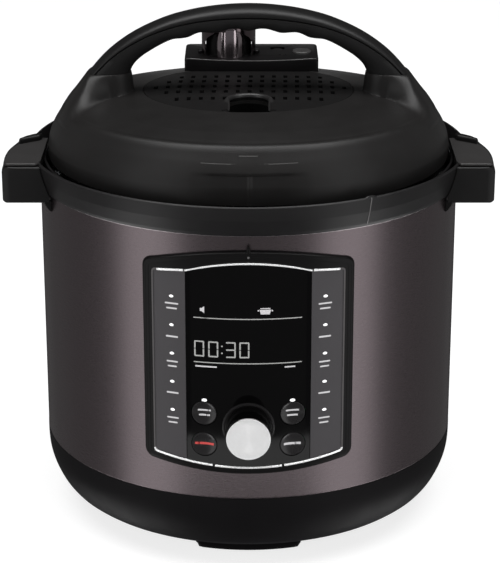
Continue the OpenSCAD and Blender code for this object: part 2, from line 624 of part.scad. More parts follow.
// the raised block that carries the valves, with a bowed front
console_plan = concat([for (i = [0:10]) let (x = -49.5 + 10.3 * i) [x, 57 + 9 * pow((x - 2) / 51.5, 2)]], [[54, 113], [52.6, 114.5], [-48.4, 114.5], [-49.5, 113]]);
module valve_console() {
    color([0.07, 0.068, 0.07]) difference() {
        translate([0, 0, 300]) linear_extrude(console_z - 300) polygon(console_plan);
        // underside rests on the crown
        crown_cap(0.05);
        // hollow
        translate([0, 0, 3]) intersection() {
            translate([-46.5, 70, 290]) cube([97.5, 41.5, 34 - 2.8]);
            translate([0, 0, 280]) cylinder(r = 140, h = 60);
        }
        translate([vent_x, vent_y, 290]) cylinder(r = 8.4, h = 60);
        translate([float_x - 5.8, float_y - 5, 290]) cube([11.6, 10, 60]);
        // button way
        translate([button_x, button_y, 290]) linear_extrude(60) polygon([for (a = [0:10:350]) [7.9 * cos(a), 8.4 * sin(a)]]);
    }
}

module lid_liner() {
    color([0.76, 0.76, 0.77]) difference() {
        union() {
            rotate_extrude($fn = 180) polygon([[0, 284], [118.5, 284], [119.5, 277.2], [137.8, 277.2], [137.8, 262], [139.2, 262], [139.2, 279],
                [121, 279], [120, 285], [0, 285]]);
            // outward lugs that pass between those of the housing
            for (i = [0:lug_count - 1]) rotate(lug_phase + i * 360 / lug_count) rotate_extrude(angle = lug_angle, start = -lug_angle / 2)
                polygon([[138.5, 262], [144.8, 262], [144.8, 265.2], [138.5, 265.2]]);
        }
        translate([vent_x, vent_y, 270]) cylinder(r = 5.2, h = 30);
        translate([float_x, float_y, 270]) cylinder(r = 3.6, h = 30);
        for (s = [-1, 1]) translate([s * 101, 0, 270]) cylinder(r = 2.7, h = 30);
    }
}

// arch outline of the lid handle: outside, the joint between its two mouldings, and the finger side
arch_out = [[133.1, 313.9], [127.9, 320.1], [123.4, 326.2], [118.6, 332.3], [117.5, arch_foot_z], [113.6, 338.3], [108.2, 344.4], [101.8, 350.4], [94.1, 356.4],
    [84.8, 362.5], [73.4, 368.4], [59, 374.4], [46, 378.0], [34.1, 380.5], [22, 382.2], [10, 383.2], [0, 383.4]];
arch_mid = [[113.0, 333.5], [108.8, 338.0], [103.2, 343.6], [96.4, 349.2], [88.6, 354.4], [79.4, 359.6], [68.8, 364.4], [56, 368.8], [42, 372.0], [28, 374.0], [14, 375.1], [0, 375.4]];
arch_in = [[87.5, 333.5], [84.6, 339.6], [78.4, 345.6], [70.6, 350.6], [64.4, 354.2], [58.4, 357.2], [53.6, 358.8], [48.6, 358.9], [43.6, 359.6], [39.4, 362.0], [34.8, 363.6],
    [29.4, 363.2], [23.6, 362.6], [18.8, 364.2], [13.4, 366.0], [8, 366.2], [3.6, 365.0], [0, 364.4]];
function flip(p) = [for (i = [len(p) - 1:-1:0]) [-p[i][0], p[i][1]]];
function ring(a, b) = concat(a, [for (i = [1:len(a) - 1]) [-a[len(a) - 1 - i][0], a[len(a) - 1 - i][1]]],
    [for (i = [0:len(b) - 1]) [-b[i][0], b[i][1]]], [for (i = [1:len(b) - 1]) b[len(b) - 1 - i]]);
arch_top = [for (i = [4:len(arch_out) - 1]) arch_out[i]];

module along_y(d) { translate([0, d / 2, 0]) rotate([90, 0, 0]) linear_extrude(d) children(); }

module handle_grip() {
    color([0.08, 0.08, 0.08]) difference() {
        union() {
            along_y(arch_d) polygon(ring(arch_mid, arch_in));
            // broader feet
            for (s = [-1, 1]) translate([s * 98.4 - 9.8, -18, 333.5]) cube([19.6, 36, 4]);
        }
        for (s = [-1, 1]) translate([s * 101, 0, 325]) cylinder(r = 2.08, h = 17);
    }
}
module handle_cover() {
    color([0.10, 0.10, 0.10]) intersection() {
        along_y(arch_d) polygon(ring(arch_top, arch_mid));
        // crowned across the hand
        translate([-140, 0, 0]) rotate([90, 0, 90]) linear_extrude(280) polygon([[-14, 300], [14, 300], [14, 400], [-14, 400]]);
    }
}
module handle_bolts() {
    color([0.6, 0.6, 0.62]) for (s = [-1, 1]) translate([s * 101, 0, 0]) {
        translate([0, 0, 281.5]) cylinder(r = 5, h = 2.4);
        translate([0, 0, 283.8]) cylinder(r = 2, h = 56, $fn = 32);
    }
}

module steam_pipe() {
    color([0.78, 0.78, 0.79]) translate([vent_x, vent_y, 0]) rotate_extrude() polygon([[2, 279], [5, 279], [5, 281.2], [8, 281.2], [8, 283.7], [5, 283.7],
        [5, 322], [4.4, 327.5], [3.4, 330], [2, 330]]);
}
module steam_pipe_nut() {
    color([0.72, 0.72, 0.73]) translate([vent_x, vent_y, 285.1]) difference() {
        cylinder(r = 8.5, h = 3.4, $fn = 6);
        translate([0, 0, -1]) cylinder(r = 5.03, h = 6);
    }
}
module anti_block_shield() {
    color([0.76, 0.76, 0.77]) translate([vent_x, vent_y, 0]) difference() {
        rotate_extrude() polygon([[0, 268.6], [11, 268.6], [14.5, 271.4], [14.5, 283.8], [13.5, 283.8], [13.5, 272], [10.6, 269.7], [0, 269.7]]);
        for (a = [0:45:315]) rotate(a) translate([9, -1.2, 272.5]) cube([8, 2.4, 8]);
    }
}

// weighted cap that closes the steam pipe
module steam_release_valve() {
    color([0.22, 0.22, 0.23]) translate([vent_x, vent_y, 0]) difference() {
        rotate_extrude() polygon([[0, 331.2], [3.6, 330.8], [5.6, 327.6], [10.5, 327.6], [12.5, 329], [12.5, 338], [10.5, 341], [0, 341]]);
        translate([0, 0, 326]) cylinder(r1 = 6.0, r2 = 4.6, h = 4.2);
    }
}

// polished hood over the steam release, open at the rear and below
hood_w = 21;
module hood_form(r, y1, z1) {
    union() {
        translate([vent_x, vent_y - 1, console_z + 0.3]) cylinder(r = r, h = z1 - console_z - 0.3 - 5);
        translate([vent_x - r, vent_y - 1, console_z + 0.3]) cube([2 * r, y1, z1 - console_z - 0.3 - 5]);
        translate([vent_x, vent_y - 1, z1 - 5.1]) cylinder(r1 = r, r2 = r - 5, h = 5.1);
        translate([vent_x - r + 5, vent_y - 1, z1 - 5.1]) cube([2 * r - 10, y1, 5.1]);
    }
}
module diffuser_cover() {
    color([0.30, 0.24, 0.26]) difference() {
        union() {
            hood_form(hood_w, 21, 355);
            translate([vent_x - 24, vent_y - 6, console_z + 0.3]) cube([48, 12, 3]);
        }
        translate([0, 0, -0.5]) hood_form(hood_w - 1.8, 40, 353);
        translate([vent_x, vent_y, console_z - 4]) cylinder(r = 17, h = 10);
    }
}

module quick_release_button() {
    color([0.10, 0.10, 0.10]) translate([button_x, button_y, 0]) {
        translate([0, 0, 322]) linear_extrude(8.4) polygon([for (a = [0:10:350]) [7.5 * cos(a), 8 * sin(a)]]);
        translate([0, 0, 330.39]) linear_extrude(1.2) polygon([for (a = [0:10:350]) [6.6 * cos(a), 7.1 * sin(a)]]);
        translate([0, 0, 305]) cylinder(r = 1.9, h = 17.1, $fn = 32);
    }
}
module button_spring() {
    color([0.7, 0.7, 0.7]) translate([button_x, button_y, 0]) coil(3.4, 0.5, 315.2, 6.2, 3);
}

module float_valve() {
    color([0.80, 0.80, 0.80]) translate([float_x, float_y, 0]) {
        translate([0, 0, 272]) cylinder(r = 2.6, h = 40, $fn = 48);
        translate([0, 0, 311.9]) cylinder(r = 3.8, h = 14, $fn = 48);
    }
}
module float_valve_seal() {
    color([0.75, 0.75, 0.72]) translate([float_x, float_y, 0]) difference() {
        rotate_extrude($fn = 64) polygon([[0, 270], [5.4, 270], [5.4, 272.4], [3.6, 274.2], [3.6, 277], [0, 277]]);
        translate([0, 0, 271.9]) cylinder(r = 2.62, h = 8, $fn = 48);
    }
}

base_housing();
base_feet();
base_screws();
outer_shell();
collar();
side_handle_left();
side_handle_right();
handle_screws();
inner_housing();
heater_bracket();
heating_plate();
heating_element();
temperature_sensor();
sensor_spring();
power_board();
control_board();
wiring_harness();
power_inlet();
inlet_pins();
collector_bracket();
condensation_collector();
panel_bezel();
panel_strip_left();
panel_strip_right();
display_glass();
chrome_trim();
display_module();
indicator_lights();
encoder();
encoder_shaft();
knob();
knob_ring();
key_upper_left();
key_upper_right();
key_lower_left();
key_lower_right();
inner_pot();
sealing_ring();
ring_rack();
lid_shell();
lid_liner();
handle_grip();
handle_cover();
handle_bolts();
vent_grille();
valve_console();
steam_pipe();
steam_pipe_nut();
anti_block_shield();
steam_release_valve();
diffuser_cover();
quick_release_button();
button_spring();
float_valve();
float_valve_seal();
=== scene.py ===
import math

import bmesh
import bpy
from mathutils import Matrix, Vector


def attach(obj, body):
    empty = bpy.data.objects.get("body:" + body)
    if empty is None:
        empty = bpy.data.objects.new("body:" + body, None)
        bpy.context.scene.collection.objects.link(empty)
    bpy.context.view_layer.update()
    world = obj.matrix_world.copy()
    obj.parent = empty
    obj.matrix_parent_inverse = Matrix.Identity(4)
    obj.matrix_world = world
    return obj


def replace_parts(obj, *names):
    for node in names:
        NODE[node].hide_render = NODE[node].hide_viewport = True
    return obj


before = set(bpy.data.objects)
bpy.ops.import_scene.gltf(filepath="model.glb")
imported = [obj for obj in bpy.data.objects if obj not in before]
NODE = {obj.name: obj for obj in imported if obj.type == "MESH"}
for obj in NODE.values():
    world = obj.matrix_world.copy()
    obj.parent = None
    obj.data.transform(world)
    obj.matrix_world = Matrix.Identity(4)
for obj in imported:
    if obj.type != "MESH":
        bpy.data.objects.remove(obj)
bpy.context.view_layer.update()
scene = bpy.context.scene
rad = math.radians

# ------------------------------------------------------------------ mesh helpers, in millimetres
def link(me, name, mat=None, sharp=34):
    o = bpy.data.objects.new(name, me)
    scene.collection.objects.link(o)
    bm = bmesh.new()
    bm.from_mesh(me)
    bmesh.ops.remove_doubles(bm, verts=bm.verts, dist=2e-6)
    bmesh.ops.dissolve_degenerate(bm, edges=bm.edges, dist=1e-6)
    bmesh.ops.recalc_face_normals(bm, faces=bm.faces)
    bm.to_mesh(me)
    bm.free()
    me.shade_smooth()
    if sharp is not None:
        me.set_sharp_from_angle(angle=rad(sharp))
    if mat:
        me.materials.append(mat)
    return o


def mesh_mm(name, verts, faces, mat=None, sharp=34):
    me = bpy.data.meshes.new(name)
    me.from_pydata([(x / 1000, y / 1000, z / 1000) for x, y, z in verts], [], faces)
    me.validate()
    return link(me, name, mat, sharp)


def rings(name, loops, mat=None, close_u=True, cap0=False, cap1=False, close_v=False, sharp=34):
    """A skin over loops of the same count of points."""
    n, m = len(loops[0]), len(loops)
    verts = [p for l in loops for p in l]
    faces = []
    for j in range(m if close_v else m - 1):
        k = (j + 1) % m
        for i in range(n if close_u else n - 1):
            q = (i + 1) % n
            faces.append((j * n + i, j * n + q, k * n + q, k * n + i))
    if cap0:
        faces.append(tuple(range(n - 1, -1, -1)))
    if cap1:
        faces.append(tuple((m - 1) * n + i for i in range(n)))
    return mesh_mm(name, verts, faces, mat, sharp)


def chaikin(p, times=2, closed=False):
    for _ in range(times):
        q = [] if closed else [p[0]]
        for i in range(len(p) if closed else len(p) - 1):
            a, b = p[i], p[(i + 1) % len(p)]
            q.append(tuple(0.75 * u + 0.25 * v for u, v in zip(a, b)))
            q.append(tuple(0.25 * u + 0.75 * v for u, v in zip(a, b)))
        if not closed:
            q.append(p[-1])
        p = q
    return p


def fillet(pts, r, seg=5, closed=True):
    """Rounds the corners of a 2D outline; r is one radius or one for each point."""
    out = []
    n = len(pts)
    for i, p in enumerate(pts):
        ri = r[i] if isinstance(r, (list, tuple)) else r
        if ri <= 0 or (not closed and i in (0, n - 1)):
            out.append(tuple(p))
            continue
        a, b = Vector(pts[i - 1]) - Vector(p), Vector(pts[(i + 1) % n]) - Vector(p)
        la, lb = a.length, b.length
        if la < 1e-6 or lb < 1e-6:
            continue
        a, b = a / la, b / lb
        ang = a.angle(b)
        if ang > math.pi - 0.03:
            out.append(tuple(p))
            continue
        d = min(ri / math.tan(ang / 2), la * 0.49, lb * 0.49)
        s, e = Vector(p) + a * d, Vector(p) + b * d
        for k in range(seg + 1):
            t = k / seg
            out.append(tuple(s * (1 - t) ** 2 + Vector(p) * 2 * t * (1 - t) + e * t * t))
    return out


def densify(pts, step):
    out = [pts[0]]
    for a, b in zip(pts, pts[1:]):
        n = max(1, round(math.dist(a, b) / step))
        out += [tuple(u + (v - u) * k / n for u, v in zip(a, b)) for k in range(1, n + 1)]
    return out


def resample(pts, n):
    """n + 1 points at equal steps of length."""
    acc = [0.0]
    for a, b in zip(pts, pts[1:]):
        acc.append(acc[-1] + math.dist(a, b))
    out, j = [], 0
    for k in range(n + 1):
        s = acc[-1] * k / n
        while j < len(acc) - 2 and acc[j + 1] < s:
            j += 1
        t = (s - acc[j]) / max(1e-9, acc[j + 1] - acc[j])
        out.append(tuple(u + (v - u) * t for u, v in zip(pts[j], pts[j + 1])))
    return out


def revolve(name, prof, mat=None, n=192, a0=0.0, a1=360.0, tf=None, sharp=34, closed=True):
    """Turns an (r, z) outline round Z. closed says whether the outline's ends join."""
    full = a1 - a0 >= 359.99
    loops = []
    for i in range(n if full else n + 1):
        a = rad(a0 + (a1 - a0) * i / n)
        loop = [(r * math.cos(a), r * math.sin(a), z) for r, z in prof]
        loops.append([tf(*p) for p in loop] if tf else loop)
    return rings(name, loops, mat, close_u=closed, cap0=not full and closed, cap1=not full and closed, close_v=full, sharp=sharp)


def about_y(x0, z0):
    """tf for revolve: turns round a line along -Y; the outline's z is the distance in front of the axis."""
    return lambda x, y, z: (x0 + x, -z, z0 + y)


def cut(obj, *cutters):
    """Boolean difference with other objects, applied; the cutters are removed."""
    for c in cutters:
        m = obj.modifiers.new("cut", "BOOLEAN")
        m.operation, m.solver, m.object = "DIFFERENCE", "EXACT", c
    dg = bpy.context.evaluated_depsgraph_get()
    me = bpy.data.meshes.new_from_object(obj.evaluated_get(dg), depsgraph=dg)
    mats = [m for m in obj.data.materials]
    obj.modifiers.clear()
    obj.data = me
    me.materials.clear()
    for m in mats:
        me.materials.append(m)
    for c in cutters:
        bpy.data.objects.remove(c)
    return obj


def smooth_by_angle(o, deg):
    o.data.shade_smooth()
    o.data.set_sharp_from_angle(angle=rad(deg))


def prism(name, outline, z0, z1, mat=None, bevel=0.0, seg=3, sharp=34, place=None):
    """An outline in XY between two heights, with its upper and lower edges rounded by bevel."""
    n = len(outline)
    loops = []

    def offset(d):
        out = []
        for i in range(n):
            p, a, b = Vector(outline[i]), Vector(outline[i - 1]), Vector(outline[(i + 1) % n])
            t = (b - a).normalized()
            nrm = Vector((t.y, -t.x))
            out.append(p - nrm * d)
        return out
    area = sum(outline[i - 1][0] * outline[i][1] - outline[i][0] * outline[i - 1][1] for i in range(n))
    sgn = 1 if area > 0 else -1
    steps = [(bevel * (1 - math.sin(rad(90 * k / seg))), bevel * (1 - math.cos(rad(90 * k / seg)))) for k in range(seg + 1)] if bevel > 0 else [(0, 0)]
    for dx, dz in steps:
        loops.append([(p.x, p.y, z0 + bevel - bevel + dz) for p in offset(sgn * dx)])
    for dx, dz in reversed(steps):
        loops.append([(p.x, p.y, z1 - dz) for p in offset(sgn * dx)])
    if bevel > 0:
        k = len(steps)
        loops = [[(p.x, p.y, z0 + bevel * (1 - math.sin(rad(90 * i / seg)))) for p in offset(sgn * bevel * (1 - math.cos(rad(90 * i / seg))))] for i in range(seg, -1, -1)][::-1]
        lower = [[(p.x, p.y, z0 + bevel * (1 - math.cos(rad(90 * i / seg)))) for p in offset(sgn * bevel * (1 - math.sin(rad(90 * i / seg))))] for i in range(seg + 1)]
        upper = [[(p.x, p.y, z1 - bevel * (1 - math.cos(rad(90 * i / seg)))) for p in offset(sgn * bevel * (1 - math.sin(rad(90 * i / seg))))] for i in range(seg, -1, -1)]
        loops = lower + upper
    if place:
        loops = [[place(*p) for p in l] for l in loops]
    return rings(name, loops, mat, cap0=True, cap1=True, sharp=sharp)


def smoothstep(a, b, x):
    t = min(1.0, max(0.0, (x - a) / (b - a)))
    return t * t * (3 - 2 * t)


# ------------------------------------------------------------------ materials
def new_mat(name):
    m = bpy.data.materials.new(name)
    m.use_nodes = True
    nt = m.node_tree
    return m, nt, next(n for n in nt.nodes if n.type == "BSDF_PRINCIPLED")


def nd(nt, kind, **inputs):
    n = nt.nodes.new(kind)
    for k, v in inputs.items():
        if k.startswith("_"):
            setattr(n, k[1:], v)
        else:
            n.inputs[k.replace("__", " ")].default_value = v
    return n


def coords(nt, scale=(1, 1, 1)):
    tc = nt.nodes.new("ShaderNodeTexCoord")
    mp = nt.nodes.new("ShaderNodeMapping")
    mp.inputs["Scale"].default_value = scale
    nt.links.new(tc.outputs["Object"], mp.inputs["Vector"])
    return mp.outputs["Vector"]


def noise(nt, vec, scale, detail=3.0, rough=0.5):
    n = nt.nodes.new("ShaderNodeTexNoise")
    n.inputs["Scale"].default_value = scale
    n.inputs["Detail"].default_value = detail
    n.inputs["Roughness"].default_value = rough
    nt.links.new(vec, n.inputs["Vector"])
    return n.outputs["Fac"]


def ramp(nt, fac, stops):
    r = nt.nodes.new("ShaderNodeValToRGB")
    cr = r.color_ramp
    while len(cr.elements) < len(stops):
        cr.elements.new(0.5)
    for e, (pos, col) in zip(cr.elements, stops):
        e.position = pos
        e.color = (*col, 1.0)
    nt.links.new(fac, r.inputs["Fac"])
    return r.outputs["Color"]


def spread(nt, fac, lo, hi):
    m = nt.nodes.new("ShaderNodeMapRange")
    m.inputs["From Min"].default_value, m.inputs["From Max"].default_value = 0.25, 0.75
    m.inputs["To Min"].default_value, m.inputs["To Max"].default_value = lo, hi
    nt.links.new(fac, m.inputs["Value"])
    return m.outputs["Result"]


def bump(nt, bsdf, height, strength, dist):
    b = nt.nodes.new("ShaderNodeBump")
    b.inputs["Strength"].default_value = strength
    b.inputs["Distance"].default_value = dist
    nt.links.new(height, b.inputs["Height"])
    nt.links.new(b.outputs["Normal"], bsdf.inputs["Normal"])


def scaled(c, k):
    return tuple(min(1.0, v * k) for v in c)


def plastic(name, col, rough=(0.40, 0.50), grain=2200, strength=0.10, vary=0.12, coat=0.0, spec=0.5):
    """Moulded plastic: a fine spark-eroded grain, cloudy gloss and a slight colour drift."""
    m, nt, b = new_mat(name)
    v = coords(nt)
    drift = noise(nt, v, 14.0, 3.0)
    nt.links.new(ramp(nt, drift, [(0.3, scaled(col, 1 - vary)), (0.7, scaled(col, 1 + vary))]), b.inputs["Base Color"])
    nt.links.new(spread(nt, noise(nt, v, 55.0, 4.0, 0.6), *rough), b.inputs["Roughness"])
    b.inputs["Specular IOR Level"].default_value = spec
    if coat:
        b.inputs["Coat Weight"].default_value = coat
        b.inputs["Coat Roughness"].default_value = 0.12
    if strength:
        bump(nt, b, noise(nt, v, grain, 2.0), strength, 0.00006)
    return m


def metal(name, col, rough=(0.22, 0.32), vary=0.06, scale=(60, 60, 60), strength=0.04, aniso=0.0, axis="Z", grain=1500, metallic=1.0):
    m, nt, b = new_mat(name)
    v = coords(nt, scale)
    b.inputs["Metallic"].default_value = metallic
    f = noise(nt, v, 1.0, 5.0, 0.6)
    nt.links.new(ramp(nt, f, [(0.3, scaled(col, 1 - vary)), (0.7, scaled(col, 1 + vary))]), b.inputs["Base Color"])
    nt.links.new(spread(nt, f, *rough), b.inputs["Roughness"])
    if aniso:
        b.inputs["Anisotropic"].default_value = aniso
        t = nt.nodes.new("ShaderNodeTangent")
        t.direction_type, t.axis = "RADIAL", axis
        nt.links.new(t.outputs["Tangent"], b.inputs["Tangent"])
    if strength:
        bump(nt, b, noise(nt, coords(nt), grain, 2.0), strength, 0.00004)
    return m


def round_grain(name, col, rough, vary, around=26.0, across=5200.0, aniso=0.6, strength=0.10):
    """Brushed sheet whose grain runs round the body: noise drawn long round Z and fine along it."""
    m, nt, b = new_mat(name)
    b.inputs["Metallic"].default_value = 1.0
    tc = nt.nodes.new("ShaderNodeTexCoord")
    sep = nt.nodes.new("ShaderNodeSeparateXYZ")
    nt.links.new(tc.outputs["Object"], sep.inputs[0])
    at = nt.nodes.new("ShaderNodeMath")
    at.operation = "ARCTAN2"
    nt.links.new(sep.outputs["Y"], at.inputs[0])
    nt.links.new(sep.outputs["X"], at.inputs[1])
    mu = nt.nodes.new("ShaderNodeMath")
    mu.operation = "MULTIPLY"
    mu.inputs[1].default_value = around
    nt.links.new(at.outputs[0], mu.inputs[0])
    mz = nt.nodes.new("ShaderNodeMath")
    mz.operation = "MULTIPLY"
    mz.inputs[1].default_value = across
    nt.links.new(sep.outputs["Z"], mz.inputs[0])
    com = nt.nodes.new("ShaderNodeCombineXYZ")
    nt.links.new(mu.outputs[0], com.inputs["X"])
    nt.links.new(mz.outputs[0], com.inputs["Z"])
    f = noise(nt, com.outputs[0], 1.0, 4.0, 0.65)
    nt.links.new(ramp(nt, f, [(0.3, scaled(col, 1 - vary)), (0.7, scaled(col, 1 + vary))]), b.inputs["Base Color"])
    nt.links.new(spread(nt, f, *rough), b.inputs["Roughness"])
    b.inputs["Anisotropic"].default_value = aniso
    t = nt.nodes.new("ShaderNodeTangent")
    t.direction_type, t.axis = "RADIAL", "Z"
    nt.links.new(t.outputs["Tangent"], b.inputs["Tangent"])
    bump(nt, b, f, strength, 0.00003)
    return m


def glow(name, col, power):
    m, nt, b = new_mat(name)
    v = coords(nt)
    nt.links.new(ramp(nt, noise(nt, v, 400.0), [(0.2, scaled(col, 0.94)), (0.8, col)]), b.inputs["Base Color"])
    b.inputs["Roughness"].default_value = 0.45
    b.inputs["Emission Color"].default_value = (*col, 1)
    b.inputs["Emission Strength"].default_value = power
    return m


M = {
    "lid": plastic("lid_plastic", (0.0095, 0.0090, 0.0088), (0.36, 0.44), strength=0.12, spec=0.22),
    "handle": plastic("handle_plastic", (0.0052, 0.0050, 0.0050), (0.38, 0.46), strength=0.10, spec=0.26),
    "grip": plastic("grip_plastic", (0.0085, 0.0083, 0.0083), (0.46, 0.54), strength=0.14, spec=0.25),
    "cap": plastic("cap_plastic", (0.0210, 0.0200, 0.0198), (0.42, 0.50), strength=0.10, spec=0.34),
    "collar": plastic("collar_plastic", (0.0062, 0.0058, 0.0060), (0.34, 0.42), strength=0.10, spec=0.34),
    "base": plastic("base_plastic", (0.0050, 0.0046, 0.0050), (0.46, 0.54), strength=0.12, spec=0.06),
    "foot": plastic("foot_rubber", (0.0024, 0.0022, 0.0024), (0.60, 0.72), grain=1400, strength=0.22, spec=0.05),
    "grille": plastic("grille_plastic", (0.0050, 0.0047, 0.0047), (0.46, 0.54), strength=0.12, spec=0.14),
    "console": plastic("console_plastic", (0.0040, 0.0036, 0.0038), (0.26, 0.34), strength=0.05, spec=0.22),
    "rim": plastic("notch_rim_gloss", (0.0120, 0.0115, 0.0115), (0.30, 0.40), strength=0.02, spec=0.4),
    # lighter colour for the console's edge line, the collar seam and the bezel dot: painted highlight
    "edge": plastic("edge_painted_highlight", (0.0850, 0.0820, 0.0820), (0.24, 0.32), strength=0.02, spec=0.6),
    # near-black matte colour for the notch pocket: painted shade in the recess
    "dark": plastic("pocket_painted_shade", (0.0015, 0.0015, 0.0015), (0.85, 0.95), strength=0.0, spec=0.05),
    "faint": plastic("moulded_tick", (0.0500, 0.0490, 0.0480), (0.40, 0.50), strength=0.02, spec=0.4),
    "bezel": plastic("bezel_plastic", (0.0040, 0.0037, 0.0038), (0.30, 0.38), strength=0.06, spec=0.14),
    "strip": plastic("strip_film", (0.046, 0.043, 0.046), (0.46, 0.54), grain=3000, strength=0.10, vary=0.05, spec=0.3),
    "glass": plastic("window_gloss", (0.0012, 0.0011, 0.0012), (0.03, 0.06), strength=0.0, vary=0.05, spec=0.19),
    "key": plastic("key_gloss", (0.0100, 0.0092, 0.0096), (0.24, 0.32), strength=0.03, spec=0.45),
    "ring": plastic("ring_gloss", (0.0070, 0.0065, 0.0068), (0.14, 0.22), strength=0.0, spec=0.5),
    "core": plastic("hood_inside", (0.0030, 0.0028, 0.0028), (0.24, 0.34), strength=0.0, spec=0.25),
    "button": plastic("button_plastic", (0.0260, 0.0250, 0.0250), (0.34, 0.42), strength=0.06, spec=0.35),
    "cup": plastic("cup_plastic", (0.0110, 0.0108, 0.0110), (0.30, 0.40), strength=0.06, spec=0.4),
    "red": plastic("wire_sleeve", (0.42, 0.03, 0.02), (0.5, 0.6), strength=0.05),
    "pcb": plastic("board_lacquer", (0.02, 0.13, 0.05), (0.22, 0.34), grain=900, strength=0.12, vary=0.2),
    "module": plastic("module_plastic", (0.012, 0.012, 0.012), (0.4, 0.5)),
    "silicone": plastic("silicone_rubber", (0.60, 0.60, 0.56), (0.38, 0.5), grain=1200, strength=0.06, vary=0.03),
    "led": glow("light_guide", (0.92, 0.92, 0.92), 0.35),
    # the printed legends on the strips and keys glow faintly as well: painted light on print
    "mark": glow("print_light", (0.52, 0.51, 0.52), 0.08),
    "dim": glow("print_dim", (0.34, 0.34, 0.33), 0.05),
    "mark_red": glow("print_red", (0.52, 0.05, 0.045), 0.06),
    "shell": round_grain("black_stainless", (0.175, 0.146, 0.154), (0.24, 0.32), 0.05, strength=0.03),
    # much lighter than the shell, for the rolled top hem: painted highlight
    "hem": round_grain("shell_hem_highlight", (0.42, 0.38, 0.39), (0.24, 0.32), 0.03),
    "steel": round_grain("satin_steel", (0.56, 0.56, 0.56), (0.20, 0.30), 0.04),
    "plain_steel": metal("pressed_steel", (0.52, 0.52, 0.53), (0.26, 0.36)),
    "cast": metal("cast_aluminium", (0.60, 0.60, 0.60), (0.36, 0.50), scale=(90, 90, 90), strength=0.15),
    "zinc": metal("zinc_plate", (0.50, 0.51, 0.53), (0.28, 0.40), scale=(300, 300, 300)),
    "brass": metal("nickel_brass", (0.70, 0.58, 0.32), (0.22, 0.32), scale=(300, 300, 300)),
    "knob": metal("spun_face", (0.95, 0.95, 0.95), (0.30, 0.36), vary=0.02, scale=(500, 500, 500), aniso=0.8, axis="Y", strength=0.02, metallic=0.55),
    "column": metal("rose_chrome_column", (0.50, 0.43, 0.45), (0.10, 0.16), vary=0.03, scale=(40, 40, 40), strength=0.0),
    "pin": metal("dark_pin", (0.12, 0.115, 0.115), (0.35, 0.45), vary=0.05, scale=(200, 200, 200), strength=0.0),
    "hood": metal("rose_black_chrome", (0.13, 0.105, 0.11), (0.08, 0.12), vary=0.03, scale=(40, 40, 40), strength=0.0),
    # the chrome trim in a dark copy and a light copy: painted shade where it mirrors dark, painted highlight where it
    # mirrors light
    "trim_painted_shade": metal("chrome_trim_painted_shade", (0.11, 0.105, 0.105), (0.30, 0.40), vary=0.04, scale=(200, 200, 200), strength=0.0),
    "trim": metal("chrome_trim_painted_highlight", (0.93, 0.93, 0.93), (0.24, 0.30), vary=0.02, scale=(200, 200, 200), strength=0.0, metallic=0.4),
    "barrel": metal("dark_barrel", (0.10, 0.095, 0.097), (0.16, 0.22), vary=0.05, scale=(300, 300, 300), strength=0.0),
}

NODE_MAT = {
    "base_housing": "base", "base_feet": "foot", "base_screws": "zinc", "outer_shell": "shell", "collar": "collar",
    "side_handle_left": "handle", "side_handle_right": "handle", "handle_screws": "zinc", "inner_housing": "steel",
    "heater_bracket": "plain_steel", "heating_plate": "cast", "heating_element": "zinc", "temperature_sensor": "cast",
    "sensor_spring": "zinc", "power_board": "pcb", "control_board": "pcb", "wiring_harness": "red", "power_inlet": "base",
    "inlet_pins": "brass", "collector_bracket": "base", "condensation_collector": "base", "panel_bezel": "bezel",
    "panel_strip_left": "strip", "panel_strip_right": "strip", "display_glass": "glass", "chrome_trim": "trim_painted_shade",
    "display_module": "module", "indicator_lights": "led", "encoder": "zinc", "encoder_shaft": "zinc", "knob": "knob",
    "knob_ring": "ring", "key_upper_left": "key", "key_upper_right": "key", "key_lower_left": "key", "key_lower_right": "key",
    "inner_pot": "steel", "sealing_ring": "silicone", "ring_rack": "plain_steel", "lid_shell": "lid", "lid_liner": "steel",
    "handle_grip": "grip", "handle_cover": "handle", "handle_bolts": "zinc", "vent_grille": "grille", "valve_console": "console",
    "steam_pipe": "plain_steel", "steam_pipe_nut": "plain_steel", "anti_block_shield": "plain_steel",
    "steam_release_valve": "module", "diffuser_cover": "hood", "quick_release_button": "button", "button_spring": "zinc",
    "float_valve": "pin", "float_valve_seal": "silicone",
}
for node_name, ob in NODE.items():
    ob.data.materials.clear()
    ob.data.materials.append(M[NODE_MAT[node_name]])

# ------------------------------------------------------------------ lid
CREASE_Z, CANT = 308.8, rad(2.2)
LID_OUT = [(0, 12.5), (30, 12.4), (56, 12.0), (78, 10.7), (98, 8.2), (116, 4.9), (128, 2.0), (135.6, -0.2), (137.2, -1.0),
           (138.6, -2.6), (141.2, -6.4), (144.0, -10.8), (146.4, -15.6), (148.2, -21.0), (149.1, -27.0), (149.2, -42)]
LID_IN = [(0, 6.2), (80, 6.2), (98, 5.2), (116, 1.9), (127, -1.0), (133.4, -3.2), (136.4, -6.2), (139.6, -11.0), (142.6, -16.2),
          (144.6, -21.6), (145.8, -27.4), (146, -42)]


def canted(x, y, z, up=0.0):
    c, s = math.cos(CANT), math.sin(CANT)
    return (x, y * c + z * s, CREASE_Z + up - y * s + z * c)


def lid_z(r):
    for (r0, z0), (r1, z1) in zip(LID_OUT, LID_OUT[1:]):
        if r <= r1:
            return z0 + (z1 - z0) * (r - r0) / (r1 - r0)
    return -42.0


def crown_z(x, y):
    """Height of the smooth crown above a point of the plan."""
    return CREASE_Z - y * math.sin(CANT) + lid_z(math.hypot(x, y))


LEVEL = 274.5
PED_TOP = 333.42
# outer slope of a handle pedestal: distance from the axis, height
PED = chaikin([(112.0, PED_TOP), (118.0, PED_TOP - 0.1), (123.4, 326.2), (127.9, 320.1), (133.0, 313.4), (137.6, 306.8), (142.5, 299.0)], 3)


